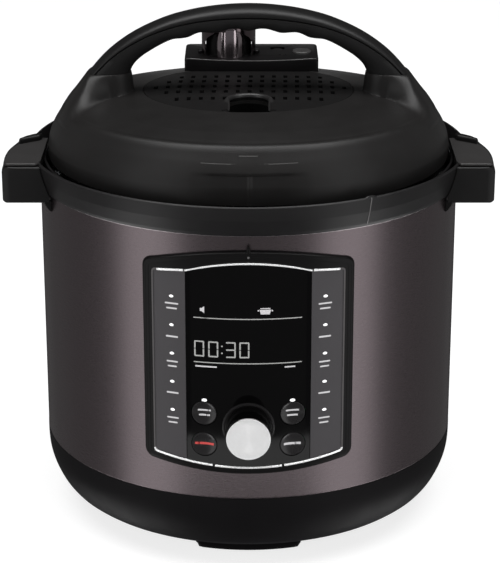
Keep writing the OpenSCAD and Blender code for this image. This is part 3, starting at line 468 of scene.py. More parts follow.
def ped_z(t):
    if t <= PED[0][0]:
        return PED_TOP
    for (r0, z0), (r1, z1) in zip(PED, PED[1:]):
        if t <= r1:
            return z0 + (z1 - z0) * (t - r0) / max(1e-6, r1 - r0)
    return PED[-1][1]


def ped_share(x, y):
    """How much of a handle pedestal's height stands above a point of the plan: a round inner column
    that opens outward into a broad smooth flank."""
    t, b = abs(x), abs(y)
    if t < 101.5:
        return 1 - smoothstep(14.6, 17.0, math.hypot(t - 101.5, b))
    g = min(1.0, (t - 101.5) / 30.0)
    return 1 - smoothstep(14.6 - 4.0 * g, 17.0 + 46.0 * g ** 1.1, b)


def lid_surface():
    radii = sorted({round(v, 3) for v in [78.8 + 0.5 * k for k in range(33)] + [95.5 + 1.5 * k for k in range(13)] + [114.5 + 0.5 * k for k in range(14)] + [121.8 + 0.9 * k for k in range(12)]})
    crown = [(r, lid_z(r)) for r in radii if r < 132.4]
    crease = chaikin([(131.6, lid_z(131.6)), (135.9, 0.5), (138.7, -2.3), (141.2, -6.4), (144.0, -10.8), (146.4, -15.6), (148.2, -21.0), (149.1, -27.0)], 3)
    inner0 = [(r, 9.15) for r in (0.0, 15, 30, 45, 60, 70, 78.2)] + [(78.35, lid_z(78.4) - 0.25), (78.6, lid_z(78.6))]
    outer = inner0 + crown + densify(crease, 1.3)
    back = densify(LID_IN[:-1], 6.0)
    turn = [(d, 1.0) for d in range(360)]
    # closer steps where the handle's columns stand and along the ridge of the scoop
    turn += [(d + 0.25 * k, 1.0) for d in list(range(-13, 13)) + list(range(167, 193)) for k in (1, 2, 3)]
    turn += [(d + 0.2 * k, 1.0) for d in range(266, 276) for k in (1, 2, 3, 4)]
    turn = sorted({round(d % 360, 3) for d, _ in turn})
    loops = []
    for deg in turn:
        a = rad(deg)
        ca, sa = math.cos(a), math.sin(a)
        loop = []
        # the level lower edge: distinct steps down to it at every angle
        lo = [(LEVEL - CREASE_Z + r * sa * math.sin(CANT)) / math.cos(CANT) for r in (149.2, 145.9)]
        down = [(149.15, -27.0 + (lo[0] + 27.0) * k / 5) for k in range(1, 6)]
        down_in = [(145.9, -27.4 + (lo[1] + 27.4) * k / 3) for k in range(1, 4)]
        for r, z in outer + down:
            x, y, w = canted(r * ca, r * sa, z)
            if 80 < r < 142:
                top = ped_z(math.hypot(x, 0.35 * y))
                w += max(0.0, top - w) * ped_share(x, y)
            # finger scoop at the front
            dx = x - 1.0
            if y < -100 and abs(dx) < 50 and w < 298.6:
                e = 1 - smoothstep(18.0, 43.0, abs(dx))
                edge = 1 - smoothstep(294.8, 298.2, w)
                deep = 0.62 + 0.38 * smoothstep(296.0, 276.0, w)
                d = 5.0 * e * edge * deep - 1.15 * math.exp(-(dx / 1.3) ** 2) * edge * e
                x, y = x - ca * d, y - sa * d
            loop.append((x, y, w))
        # level lower edge and the inner side
        for r, z in reversed(back + down_in):
            x, y, w = canted(r * ca, r * sa, z)
            if r > 140 and y < -100 and abs(x - 1.0) < 50:
                e = 1 - smoothstep(18.0, 43.0, abs(x - 1.0))
                x, y = x - ca * 2.6 * e, y - sa * 2.6 * e
            loop.append((x, y, w))
        loops.append(loop)
    return rings("lid_dome", loops, M["lid"], close_u=False, close_v=True, sharp=46)


def cyl(name, x, y, r, z0, z1, n=48):
    loops = [[(x + r * math.cos(2 * math.pi * i / n), y + r * math.sin(2 * math.pi * i / n), z) for i in range(n)] for z in (z0, z1)]
    return rings(name, loops, None, cap0=True, cap1=True)


def u_shape(half, back, front, grow=0.0, seg=28):
    """Outline of the finger notch in the canted plan: straight front, round rear."""
    c = 0.4
    h = half + grow
    pts = [(c - h, front - grow), (c + h, front - grow)]
    pts += [(c + h * math.cos(math.pi * k / seg), back + h * math.sin(math.pi * k / seg)) for k in range(seg + 1)]
    return pts


def canted_loop(pts, z):
    return [canted(x, y, z) for x, y in pts]


lid = lid_surface()
notch_cut = rings("c4", [canted_loop(u_shape(14.6, -46.4, -75.0), z) for z in (2.0, 16.0)], None, cap0=True, cap1=True)
cut(lid, cyl("c1", -15.5, 84, 8, 286, 325.8), cyl("c2", 22.7, 98, 5, 286, 325.8), cyl("c3", 41.5, 86, 3.5, 286, 325.8), notch_cut)
smooth_by_angle(lid, 46)
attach(lid, "lid")
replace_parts(lid, "lid_shell")

# the notch's pocket, in a near-black matte material much darker than the lid: painted shade in the recess
pocket = rings("notch_pocket", [canted_loop(u_shape(11.0, -47.5, -71.0), -7.0), canted_loop(u_shape(14.2, -46.5, -74.4), -4.5), canted_loop(u_shape(14.7, -46.4, -75.0), 8.8),
                                canted_loop(u_shape(16.0, -46.4, -76.0), 8.8), canted_loop(u_shape(16.0, -46.4, -76.0), -8.6)], M["dark"], cap0=True, cap1=True, sharp=50)
# raised rim of the notch
path = u_shape(15.9, -46.4, -66.0)[2:]
path = [(0.4 + 15.9, -70.5 + 4.0 * k) for k in range(6)] + path + [(0.4 - 15.9, -50.5 - 4.0 * k) for k in range(6)]
rim_loops = []
for i, (x, y) in enumerate(path):
    a, b = path[max(0, i - 1)], path[min(len(path) - 1, i + 1)]
    tx, ty = b[0] - a[0], b[1] - a[1]
    l = math.hypot(tx, ty)
    nx, ny = ty / l, -tx / l
    base = lid_z(max(0.0, math.hypot(x, y)))
    k = -0.1 + 1.05 * smoothstep(-60.0, -42.0, y)
    rim_loops.append([canted(x + nx * u * 2.0, y + ny * u * 2.0, base - 0.9 + v * 2.7 * k) for u, v in
                      [(math.cos(rad(t)), max(0.0, math.sin(rad(t)))) for t in range(0, 181, 15)]])
notch_rim = rings("notch_rim", rim_loops, M["rim"], close_u=True, cap0=True, cap1=True, sharp=60)
for o in (pocket, notch_rim):
    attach(o, "lid")

# faint moulded ticks on the skirt, either side of the middle
tick = []
for x0, x1, z in ((-32.6, -6.0, 303.7), (8.0, 34.0, 303.7), (-6.5, 6.5, 308.6)):
    n = 8
    tick.append([(x0 + (x1 - x0) * k / n, z) for k in range(n + 1)])
verts, faces = [], []
for line in tick:
    b = len(verts)
    for x, z in line:
        zc = z - CREASE_Z
        rr = next(r0 + (r1 - r0) * (zc - z0) / (z1 - z0) for (r0, z0), (r1, z1) in zip(LID_OUT[7:], LID_OUT[8:]) if z1 <= zc - 5.6 <= z0) if zc - 5.6 < -0.2 else 136.0
        for dz, dr in ((-0.22, 0.02), (-0.22, 0.13), (0.22, 0.13), (0.22, 0.02)):
            zz = z + dz
            zl = zz - CREASE_Z - 5.6
            rr = 149.2
            for (r0, z0), (r1, z1) in zip(LID_OUT[7:], LID_OUT[8:]):
                if z1 <= zl <= z0:
                    rr = r0 + (r1 - r0) * (zl - z0) / (z1 - z0)
                    break
            rr += dr + 0.06
            verts.append((x, -math.sqrt(rr * rr - x * x), zz))
    m = len(line)
    for k in range(m - 1):
        for j in range(4):
            faces.append((b + 4 * k + j, b + 4 * k + (j + 1) % 4, b + 4 * (k + 1) + (j + 1) % 4, b + 4 * (k + 1) + j))
    faces += [(b, b + 1, b + 2, b + 3), tuple(b + 4 * (m - 1) + j for j in (3, 2, 1, 0))]
ticks = mesh_mm("skirt_ticks", verts, faces, M["faint"], 30)
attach(ticks, "lid")

# ------------------------------------------------------------------ arched handle
ARCH_OUT = [(117.5, 333.5), (113.6, 338.3), (108.2, 344.4), (101.8, 350.4), (94.1, 356.4), (84.8, 362.5), (73.4, 368.4), (59, 374.4), (46, 378.0), (34.1, 380.5), (22, 382.2), (10, 383.2), (0, 383.4)]
ARCH_MID = [(113.0, 333.5), (108.8, 338.0), (103.2, 343.6), (96.4, 349.2), (88.6, 354.4), (79.4, 359.6), (68.8, 364.4), (56, 368.8), (42, 372.0), (28, 374.0), (14, 375.1), (0, 375.4)]
ARCH_IN = [(87.5, 333.5), (84.6, 339.6), (78.4, 345.6), (70.6, 350.6), (64.4, 354.2), (58.4, 357.2), (53.6, 358.8), (48.6, 358.9), (43.6, 359.6), (39.4, 362.0), (34.8, 363.6),
           (29.4, 363.2), (23.6, 362.6), (18.8, 364.2), (13.4, 366.0), (8, 366.2), (3.6, 365.0), (0, 364.4)]

HALF = 90


def mirrored(pts):
    return [(-x, z) for x, z in pts] + [(x, z) for x, z in reversed(pts)][1:]


S_OUT, S_MID, S_IN = (mirrored(resample(chaikin(p, k), HALF)) for p, k in ((ARCH_OUT, 3), (ARCH_MID, 3), (ARCH_IN, 2)))


def arch_section(a, b, z, kind):
    """Loop round one section from the seam a to the far side b, across the hand."""
    half = 13.9
    n = 14
    pts = []
    p = 2.3 if kind == "cover" else 2.9
    base = 0.10 if kind == "cover" else 0.06
    for i in range(2 * n + 1):
        th = math.pi * i / (2 * n)
        c, s = math.cos(th), math.sin(th)
        u = base + (1 - base) * abs(s) ** (2 / p)
        y = math.copysign(abs(c) ** (2 / p), c) * half
        pts.append((a[0] + (b[0] - a[0]) * u, y, a[1] + (b[1] - a[1]) * u))
    g = 0.7
    pts.insert(0, (a[0] + (b[0] - a[0]) * 0.02, half - g, a[1] + (b[1] - a[1]) * 0.02))
    pts.append((a[0] + (b[0] - a[0]) * 0.02, -(half - g), a[1] + (b[1] - a[1]) * 0.02))
    return pts


cover = rings("arch_cover", [arch_section(m, o_, max(m[1], 333.5), "cover") for m, o_ in zip(S_MID, S_OUT)], M["handle"], cap0=True, cap1=True, sharp=50)
grip = rings("arch_grip", [arch_section(m, i_, max(m[1], 333.5), "grip") for m, i_ in zip(S_MID, S_IN)], M["grip"], cap0=True, cap1=True, sharp=50)
for o, n in ((cover, "handle_cover"), (grip, "handle_grip")):
    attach(o, "lid")
    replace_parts(o, n)

# ------------------------------------------------------------------ valve console, hood, button
front = [(-49.5 + 103.5 * k / 24, 57 + 9 * ((-49.5 + 103.5 * k / 24 - 2) / 51.5) ** 2) for k in range(25)]
plan = fillet(front + [(54, 114.3), (-49.5, 114.3)], [3.0] + [0] * 23 + [3.0, 5.0, 5.0], seg=5)


def inward(pts, d):
    n = len(pts)
    area = sum(pts[i - 1][0] * pts[i][1] - pts[i][0] * pts[i - 1][1] for i in range(n))
    s = 1 if area > 0 else -1
    out = []
    for i in range(n):
        p, a, b = pts[i], pts[i - 1], pts[(i + 1) % n]
        tx, ty = b[0] - a[0], b[1] - a[1]
        l = max(1e-9, math.hypot(tx, ty))
        out.append((p[0] - s * ty / l * d, p[1] + s * tx / l * d))
    return out


levels = [(0.0, None), (0.0, 325.6)] + [(1.4 * (1 - math.cos(rad(t))), 325.6 + 1.4 * math.sin(rad(t))) for t in (30, 60, 90)]
loops = []
for d, z in levels:
    q = inward(plan, d)
    loops.append([(x, y, (crown_z(x, y) - 0.25) if z is None else z) for x, y in q])
console = rings("console_block", loops, M["console"], cap0=True, cap1=True, sharp=40)
slot_cut = rings("c5", [[(22.7 + 5.8 * math.copysign(abs(math.cos(t)) ** 0.5, math.cos(t)), 98 + 4.4 * math.copysign(abs(math.sin(t)) ** 0.7, math.sin(t)), z)
                         for t in [2 * math.pi * k / 32 for k in range(32)]] for z in (318.5, 340)], None, cap0=True, cap1=True)
button_cut = rings("c6", [[(41.5 + 7.9 * math.cos(2 * math.pi * k / 48), 86 + 8.4 * math.sin(2 * math.pi * k / 48), z) for k in range(48)] for z in (319.5, 340)], None, cap0=True, cap1=True)
cut(console, cyl("c7", -15.5, 84, 8.4, 300, 340), slot_cut, button_cut)
smooth_by_angle(console, 40)
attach(console, "lid")
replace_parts(console, "valve_console")

# a thin lighter line along the console's front top edge: a painted highlight
edge_pts = [(x, y) for x, y in inward(front + [(54, 100), (-49.5, 100)], 0.75)[1:24]]
edge = rings("console_edge_highlight", [[(x, y - 0.28 + 0.22 * math.cos(rad(t)), 326.55 + 0.30 * math.sin(rad(t))) for t in range(0, 360, 45)] for x, y in edge_pts],
             M["edge"], cap0=True, cap1=True, sharp=60)
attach(edge, "lid")

cap_loops = []
for k, z in ((1.0, 320.6), (1.0, 327.2), (0.97, 327.9), (0.90, 328.4), (0.80, 328.6)):
    cap_loops.append([(41.5 + 7.5 * k * math.cos(2 * math.pi * i / 48), 86 + 8.0 * k * math.sin(2 * math.pi * i / 48), z) for i in range(48)])
# a shallow dish in the middle
cap_loops += [[(41.5 + 7.5 * k * math.cos(2 * math.pi * i / 48), 86 + 8.0 * k * math.sin(2 * math.pi * i / 48), z) for i in range(48)] for k, z in ((0.70, 328.5), (0.45, 328.1), (0.15, 327.95))]
stem = cyl("button_stem", 41.5, 86, 1.9, 305, 322.2, 24)
button = rings("button_cap", cap_loops, M["button"], cap0=True, cap1=True, sharp=50)


def join(name, *objs):
    bm = bmesh.new()
    mats = []
    for o in objs:
        b2 = bmesh.new()
        b2.from_mesh(o.data)
        me = bpy.data.meshes.new("tmp")
        b2.to_mesh(me)
        b2.free()
        bm.from_mesh(me)
        bpy.data.meshes.remove(me)
        mats += [m for m in o.data.materials if m]
        bpy.data.objects.remove(o)
    me = bpy.data.meshes.new(name)
    bm.to_mesh(me)
    bm.free()
    o = bpy.data.objects.new(name, me)
    scene.collection.objects.link(o)
    if mats:
        me.materials.append(mats[0])
    return o


button = join("release_button", button, stem)
smooth_by_angle(button, 50)
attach(button, "quick_release_button")
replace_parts(button, "quick_release_button")


def hood_outline(r, y_rear, n=40):
    cx, cy = -15.5, 83.0
    pts = [(cx + r, y_rear)]
    pts = [(cx + r * math.cos(math.pi + math.pi * k / n), cy + r * math.sin(math.pi + math.pi * k / n)) for k in range(n + 1)]
    return [(cx - r, y_rear)] + pts + [(cx + r, y_rear)]


def hood_skin(r, y_rear, z0, z1, rnd):
    out = []
    for d, z in [(0, z0), (0, z1 - rnd)] + [(rnd * (1 - math.cos(rad(t))), z1 - rnd + rnd * math.sin(rad(t))) for t in (15, 30, 45, 60, 75, 90)]:
        o = hood_outline(r - d, y_rear)
        out.append([(x, y, z) for x, y in o])
    return out


outer = hood_skin(20.9, 103.8, 327.4, 354.8, 5.0)
inner = hood_skin(19.2, 103.9, 327.4, 352.9, 4.0)
n = len(outer[0])
verts = [p for l in outer for p in l] + [p for l in inner for p in l]
m = len(outer)
faces = []
for j in range(m - 1):
    for i in range(n - 1):
        faces.append((j * n + i, j * n + i + 1, (j + 1) * n + i + 1, (j + 1) * n + i))
        b = m * n
        faces.append((b + j * n + i + 1, b + j * n + i, b + (j + 1) * n + i, b + (j + 1) * n + i + 1))
b = m * n
faces.append(tuple((m - 1) * n + i for i in range(n)))
faces.append(tuple(b + (m - 1) * n + i for i in range(n - 1, -1, -1)))
for i in range(n - 1):
    faces.append((i + 1, i, b + i, b + i + 1))
for j in range(m - 1):
    faces.append((j * n, (j + 1) * n, b + (j + 1) * n, b + j * n))
    faces.append((j * n + n - 1, b + j * n + n - 1, b + (j + 1) * n + n - 1, (j + 1) * n + n - 1))
faces.append(((m - 1) * n, (m - 1) * n + n - 1, b + (m - 1) * n + n - 1, b + (m - 1) * n))
hood = mesh_mm("steam_hood", verts, faces, M["hood"], 40)
# arched mouth in its front, with the column standing in it
mouth = fillet([(-18.4, 326.0), (18.4, 326.0), (18.4, 336.5), (16.4, 342.0), (9.5, 347.6), (-9.5, 347.6), (-16.4, 342.0), (-18.4, 336.5)], [0, 0, 5, 6, 6, 6, 6, 5], 5)
cut(hood, rings("c9", [[(-15.5 + x, y, z) for x, z in mouth] for y in (52.0, 76.0)], None, cap0=True, cap1=True))
sleeve = []
for r, z in ((16.95, 327.45), (17.6, 327.45), (17.6, 350.0), (16.95, 350.0)):
    sleeve.append([(-15.5 + r * math.cos(rad(t)), 84 + r * math.sin(rad(t)), z) for t in range(150, 391, 4)])
sleeve = rings("hood_core", [list(p) for p in zip(*sleeve)], M["core"], cap0=True, cap1=True, sharp=40)
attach(sleeve, "diffuser_cover")
smooth_by_angle(hood, 40)
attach(hood, "diffuser_cover")
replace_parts(hood, "diffuser_cover")
column = []
for d, z in [(0, 327.4), (0, 349.0)] + [(3 * (1 - math.cos(rad(t))), 349 + 3 * math.sin(rad(t))) for t in (22, 45, 67, 90)]:
    column.append([(-14.6 + (10.8 - d) * math.cos(2 * math.pi * k / 56), 72.6 + (10.8 - d) * math.sin(2 * math.pi * k / 56), z) for k in range(56)])
column = rings("hood_column", column, M["column"], cap0=True, cap1=True, sharp=40)
bore = cyl("c8", -15.5, 84, 16.6, 320, 346, 64)
cut(column, bore)
smooth_by_angle(column, 40)
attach(column, "diffuser_cover")
lugs = []
for s in (-1, 1):
    c = [(-15.5 + s * 21.6 + 2.5 * math.cos(2 * math.pi * k / 24), 80.5 + 3.4 * math.sin(2 * math.pi * k / 24)) for k in range(24)]
    lugs.append(prism("hood_lug", c, 327.35, 330.5, M["console"], 0.9, 3, 50))
lugs = join("hood_lugs", *lugs)
smooth_by_angle(lugs, 50)
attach(lugs, "diffuser_cover")

# ------------------------------------------------------------------ collar, side handles
prof = [(155.2, 252), (155.2, 256.5), (157.6, 256.5), (158.6, 259), (161.4, 268), (163.5, 277.8), (162.6, 278.8), (161.3, 278.8),
        (159.4, 268.5), (158.6, 265.5), (153.4, 264.2), (153.4, 272.4), (151.4, 272.4), (151.4, 261.4), (152.4, 261.4), (152.4, 252)]
prof = fillet(prof, [0.2, 0.2, 0.9, 2.0, 8.0, 0.7, 0.4, 0.5, 1.0, 1.0, 1.0, 0.5, 0.5, 0.5, 0.3, 0.3])
collar = revolve("collar_ring", prof, M["collar"], n=240)
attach(collar, "root")
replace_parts(collar, "collar")

# a moulding seam with a small stop on the lip, right of the middle; the seam is coloured far lighter than the collar, a
# painted highlight along its ridge
ang = rad(-90 + 31.2)
seam = []
for z, r in ((258.2, 158.35), (260.5, 159.3), (268.0, 161.45), (277.6, 163.5), (278.9, 163.0), (278.95, 162.0)):
    seam.append([(r * math.cos(ang + dt / 163.0) + 0, r * math.sin(ang + dt / 163.0), z + dz) for dt, dz in ((-0.45, 0), (-0.45, 0.05), (0.45, 0.05), (0.45, 0))])
seam_pts = [((158.3, 258.0)), ((159.35, 260.6)), ((161.5, 268.2)), ((163.55, 277.4)), ((163.3, 278.6)), ((162.2, 279.05))]
loops = []
for r, z in seam_pts:
    loops.append([((r + dr) * math.cos(ang + dt / 163.0), (r + dr) * math.sin(ang + dt / 163.0), z) for dt, dr in ((-0.42, -0.4), (-0.34, 0.16), (0.34, 0.16), (0.42, -0.4))])
seam = rings("collar_seam", loops, M["edge"], cap0=True, cap1=True, sharp=50)
stop = []
for k in range(9):
    t = -4.5 + 9 * k / 8
    h = 1.15 * (1 - (t / 4.5) ** 2) ** 0.5 if abs(t) < 4.5 else 0.0
    stop.append([((r) * math.cos(ang + t / 163.0), r * math.sin(ang + t / 163.0), z) for r, z in ((161.6, 278.4), (161.9, 278.75 + h * 0.8), (162.5, 278.8 + h), (163.1, 278.6 + h * 0.6), (163.45, 277.9))])
stop = rings("collar_stop", stop, M["collar"], cap0=True, cap1=True, sharp=50)
for o in (seam, stop):
    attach(o, "root")

REACH = [(-64, 8), (-63, 4.9), (-60.4, 3.4), (-56, 3), (-40, 1.7), (-24, 0.4), (-16, 0), (-8, 0.4), (0, 1.8), (8, 3.3), (16, 4.4),
         (24, 4.6), (32, 4.8), (40, 5.4), (48, 6.8), (55, 9.2), (61, 12.6), (64, 17)]
TOPS = [(-64, 277.5), (-4, 277.5), (4, 277.2), (16, 276.4), (32, 273.8), (48, 270.4), (64, 266.6)]
COLL = [(250.0, 157.75), (256.4, 157.75), (259, 158.75), (268, 161.55), (278, 163.6)]


def lookup(tab, v):
    for (a, p), (b_, q) in zip(tab, tab[1:]):
        if a <= v <= b_:
            return p + (q - p) * (v - a) / (b_ - a)
    return tab[0][1] if v < tab[0][0] else tab[-1][1]


def handle_section(y, inset):
    x1 = 182.0 - lookup(REACH, y) - inset
    z1 = lookup(TOPS, y) - inset
    z0 = 250.6 + inset
    rt = 4.5 + 5.0 * smoothstep(-62.0, -24.0, y)
    rt = min(rt, 9.6)
    rb = 1.8

    def inn(z):
        R = lookup(COLL, z) + 0.05
        return math.sqrt(R * R - y * y) + (0.0 if abs(y) < 63.2 else inset * 0.5)
    pts = [(inn(z0), z0), (0.5 * (inn(z0) + x1), z0), (x1 - rb, z0)]
    pts += [(x1 - rb + rb * math.sin(rad(t)), z0 + rb - rb * math.cos(rad(t))) for t in (30, 60, 90)]
    pts += [(x1, z0 + rb + (z1 - rt - z0 - rb) * k / 3) for k in (1, 2)]
    pts += [(x1 - rt + rt * math.cos(rad(t)), z1 - rt + rt * math.sin(rad(t))) for t in range(0, 91, 10)]
    pts += [(inn(z1) + (x1 - rt - inn(z1)) * (1 - k / 3), z1) for k in (1, 2, 3)]
    pts += [(inn(z1 + (z0 - z1) * k / 6), z1 + (z0 - z1) * k / 6) for k in range(1, 6)]
    return pts


def make_handle(s, name):
    st = [(-64.0, 1.5), (-63.9, 0.8), (-63.5, 0.3), (-62.9, 0.0)]
    st += [(-62.9 + (62.9 + 61.6) * k / 44, 0.0) for k in range(1, 44)] + [(61.6, 0.0), (62.9, 0.5), (63.6, 1.2), (64.0, 2.4)]
    loops = [[(s * x, y, z) for x, z in handle_section(y, d)] for y, d in st]
    body = rings(name, loops, M["handle"], cap0=True, cap1=True, sharp=36)
    hollow = [(163.6, -54), (175, -54), (177.5, -24), (178, -12), (175, 2), (173, 16), (172.6, 37), (170.5, 48), (163.6, 48)]
    hollow = fillet(hollow, [3, 3, 8, 8, 8, 8, 8, 3, 3], 4)
    c1 = rings("c1", [[(s * x, y, z) for x, y in inward(hollow, 0.0)] for z in (245.0, 262.5)] + [[(s * x, y, 264.0) for x, y in inward(hollow, 1.4)]], None, cap0=True, cap1=True)
    fin = fillet([(165, 8), (170, 8), (170, 32), (165, 32)], 1.0, 3)
    c2 = rings("c2", [[(s * x, y, z) for x, y in fin] for z in (266.5, 290)], None, cap0=True, cap1=True)
    cut(body, c1, c2)
    smooth_by_angle(body, 36)
    # cap over the collar's lip
    outline = [(175.0, -61.9), (176.5, -60.2), (177.3, -50), (177.5, -42), (177.1, -30), (176.0, -20), (174.2, -13), (171.0, -5.6), (166.4, 1.6), (160.6, 7.2), (153.6, 10.8),
               (151.0, 6), (151.0, -22), (151.1, -45), (151.6, -58), (153.4, -61.9)]
    outline = fillet(outline, [1.5, 2, 6, 6, 6, 6, 6, 6, 6, 6, 2.5, 2, 8, 8, 2.5, 1.5], 3)
    cz = lambda y: 280.0 - 0.012 * (y + 62)
    loops = []
    for d, z in ((1.6, -2.0), (0.3, -1.9), (0.0, -1.5), (0.0, -1.0), (0.25, -0.45), (0.8, -0.12), (1.7, 0.0)):
        loops.append([(s * x, y, cz(y) + z) for x, y in inward(outline, d)])
    plate = rings(name + "_cap", loops, M["cap"], cap0=True, cap1=True, sharp=50)
    hole = rings("c3", [[(s * x, y, z) for x, y in fin] for z in (266.5, 290)], None, cap0=True, cap1=True)
    cut(plate, hole)
    smooth_by_angle(plate, 50)
    # inner skirt of the cap, down into the gap beside the lid
    sk = []
    for k in range(15):
        y = -55 + 62 * k / 14
        sk.append([(s * x, y, z) for x, z in ((151.05, 279.6), (153.2, 279.6), (153.3, 275.2), (152.9, 274.6), (151.6, 274.6), (151.1, 275.2))])
    skirt = rings(name + "_skirt", sk, M["cap"], cap0=True, cap1=True, sharp=50)
    # raised end stop at the rear of the cap
    bump_o = fillet([(156.2, 1.5), (163.5, -3.6), (170.6, -9.4), (171.6, -7.0), (167.2, 0.8), (161.4, 6.6), (154.6, 10.0)], [2, 6, 2, 2, 5, 5, 2], 4)
    lb = []
    for d, z in ((0.0, 278.8), (0.0, 281.4), (0.35, 282.6), (1.0, 283.3), (1.8, 283.5)):
        lb.append([(s * x, y, z) for x, y in inward(bump_o, d)])
    nub = rings(name + "_stop", lb, M["handle"], cap0=True, cap1=True, sharp=50)
    # rib under the front end
    a0 = math.atan2(-62.0, 148.0)
    rib = []
    for r, z0_, z1_ in ((156.1, 243.6, 251.5), (157.6, 244.6, 252.5), (160.2, 248.6, 253.5), (160.9, 250.4, 253.5)):
        rib.append([(s * (r * math.cos(a0) + du * math.sin(a0)), r * math.sin(a0) - du * math.cos(a0), z) for du, z in ((-2.2, z0_), (2.2, z0_), (2.2, z1_), (-2.2, z1_))])
    rib = rings(name + "_rib", rib, M["handle"], cap0=True, cap1=True, sharp=40)
    for o in (body, plate, skirt, nub, rib):
        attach(o, "root")
    return body


for s, name in ((-1, "side_handle_left"), (1, "side_handle_right")):
    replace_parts(make_handle(s, "grip_" + ("left" if s < 0 else "right")), name)

# ------------------------------------------------------------------ base, feet, edges of the steel
BASE_OUT = [(127, 9), (132.6, 10.4), (138.5, 13.2), (143.6, 17.2), (147.6, 22.4), (150.6, 28.2), (153.2, 34.6), (155.0, 41.2), (155.9, 48.5), (156.0, 57.6)]
skin = chaikin(BASE_OUT, 2)
skin = [(r + 0.12, z) for r, z in skin]
skin = skin + [(155.7, 58.15), (154.8, 58.2), (154.6, 57.6)] + [(r - 0.9, z) for r, z in reversed(skin[2:-1])]
base_skin = revolve("base_skin", skin, M["base"], n=240)
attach(base_skin, "root")

feet = []
for k in range(4):
    ro = 133.2 if k % 2 == 0 else 127.0
    top = 9.85 if ro > 130 else 8.95
    loops = []
    for i in range(41):
        a = -18 + 36 * i / 40
        near = max(0.0, (abs(a) - 15.6) / 2.4)
        lift = 5.5 * (1 - math.sqrt(max(0.0, 1 - near * near)))
        sec = [(ro - 22, 1.4), (ro - 20.8, 0.3), (ro - 19.6, 0.0), (ro - 7.0, 0.0), (ro - 4.4, 0.35), (ro - 2.8, 1.5), (ro - 1.6, 4.4), (ro - 0.6, top), (ro - 6.4, 9.0), (ro - 22, 9.0)]
        t = rad(a + 90 * k)
        loops.append([(r * math.cos(t), r * math.sin(t), min(max(z, lift) if z < 7 else z, z if z > 7 else 6.9)) for r, z in sec])
    feet.append(rings("foot_%d" % k, loops, M["foot"], cap0=True, cap1=True, sharp=44))
feet = join("feet_round", *feet)
smooth_by_angle(feet, 44)
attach(feet, "root")
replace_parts(feet, "base_feet")

# the rolled hem at the top of the steel is real, but its much lighter colour than the shell is a painted highlight
hem = revolve("shell_hem", [(155.7 + 0.5 * math.cos(rad(t)), 255.95 + 0.42 * math.sin(rad(t))) for t in range(0, 360, 45)], M["hem"], n=240, sharp=60)
hem2 = revolve("shell_foot_hem", [(155.65 + 0.45 * math.cos(rad(t)), 58.95 + 0.40 * math.sin(rad(t))) for t in range(0, 360, 45)], M["shell"], n=240, sharp=60)
for o in (hem, hem2):
    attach(o, "root")

# ------------------------------------------------------------------ control panel
def onp(x, z, r):
    """A point of the panel's curved face."""
    return (x, -math.sqrt(max(r * r - x * x, 0.0)), z)


def bow(w, z1, z0, s1, s0, r, n=28):
    """Outline of the curved panel: half width, top and bottom on the centre line, bow and corner radius."""
    c1 = z1 - s1 * ((w - r) / w) ** 2 - r
    c0 = z0 + s0 * ((w - r) / w) ** 2 + r
    out = [((w - r) * (2 * i / n - 1), z1 - s1 * ((2 * i / n - 1) * (w - r) / w) ** 2) for i in range(n + 1)]
    out += [(w - r + r * math.cos(rad(a)), c1 + r * math.sin(rad(a))) for a in (72, 54, 36, 18, 0)]
    out += [(w - r + r * math.cos(rad(a)), c0 + r * math.sin(rad(a))) for a in (0, -18, -36, -54, -72)]
    out += [((w - r) * (1 - 2 * i / n), z0 + s0 * ((1 - 2 * i / n) * (w - r) / w) ** 2) for i in range(n + 1)]
    out += [(-(w - r) + r * math.cos(rad(a)), c0 + r * math.sin(rad(a))) for a in (-108, -126, -144, -162, -180)]
    out += [(-(w - r) + r * math.cos(rad(a)), c1 + r * math.sin(rad(a))) for a in (180, 162, 144, 126, 108)]
    return out


# rounded edge round the carrier
o0 = bow(72.8, 244.9, 79.6, 10.4, 7.6, 6)
lip = []
for d, r in ((-0.95, 156.06), (-0.95, 156.9), (-0.75, 158.0), (-0.2, 159.0), (0.7, 159.62), (1.8, 159.86), (3.0, 159.88), (3.6, 159.74), (3.6, 159.2), (0.6, 156.06)):
    lip.append([onp(x, z, r) for x, z in inward(o0, d)])
lip = rings("bezel_lip", lip, M["bezel"], close_v=True, sharp=50)
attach(lip, "root")
# small sight mark over the carrier's middle
mark = []
for k, r in ((1.0, 156.0), (1.0, 160.0), (0.7, 160.35), (0.2, 160.45)):
    mark.append([onp(k * px, 246.0 + k * pz, r) for px, pz in [(1.5 * math.cos(rad(t)), 1.5 * math.sin(rad(t)) + (2.2 * max(0.0, math.sin(rad(t))) ** 3)) for t in range(0, 360, 20)]])
mark = rings("bezel_mark", mark, M["bezel"], cap0=True, cap1=True, sharp=60)
# the dot over it is drawn in the lighter edge colour: a painted highlight on it
dot = rings("bezel_dot", [[onp(k * 0.9 * math.cos(rad(t)), 241.9 + k * 0.9 * math.sin(rad(t)), r) for t in range(0, 360, 24)] for k, r in ((1.0, 159.6), (0.9, 160.1), (0.4, 160.25))], M["edge"], cap0=True, cap1=True, sharp=60)
for o in (mark, dot):
    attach(o, "root")

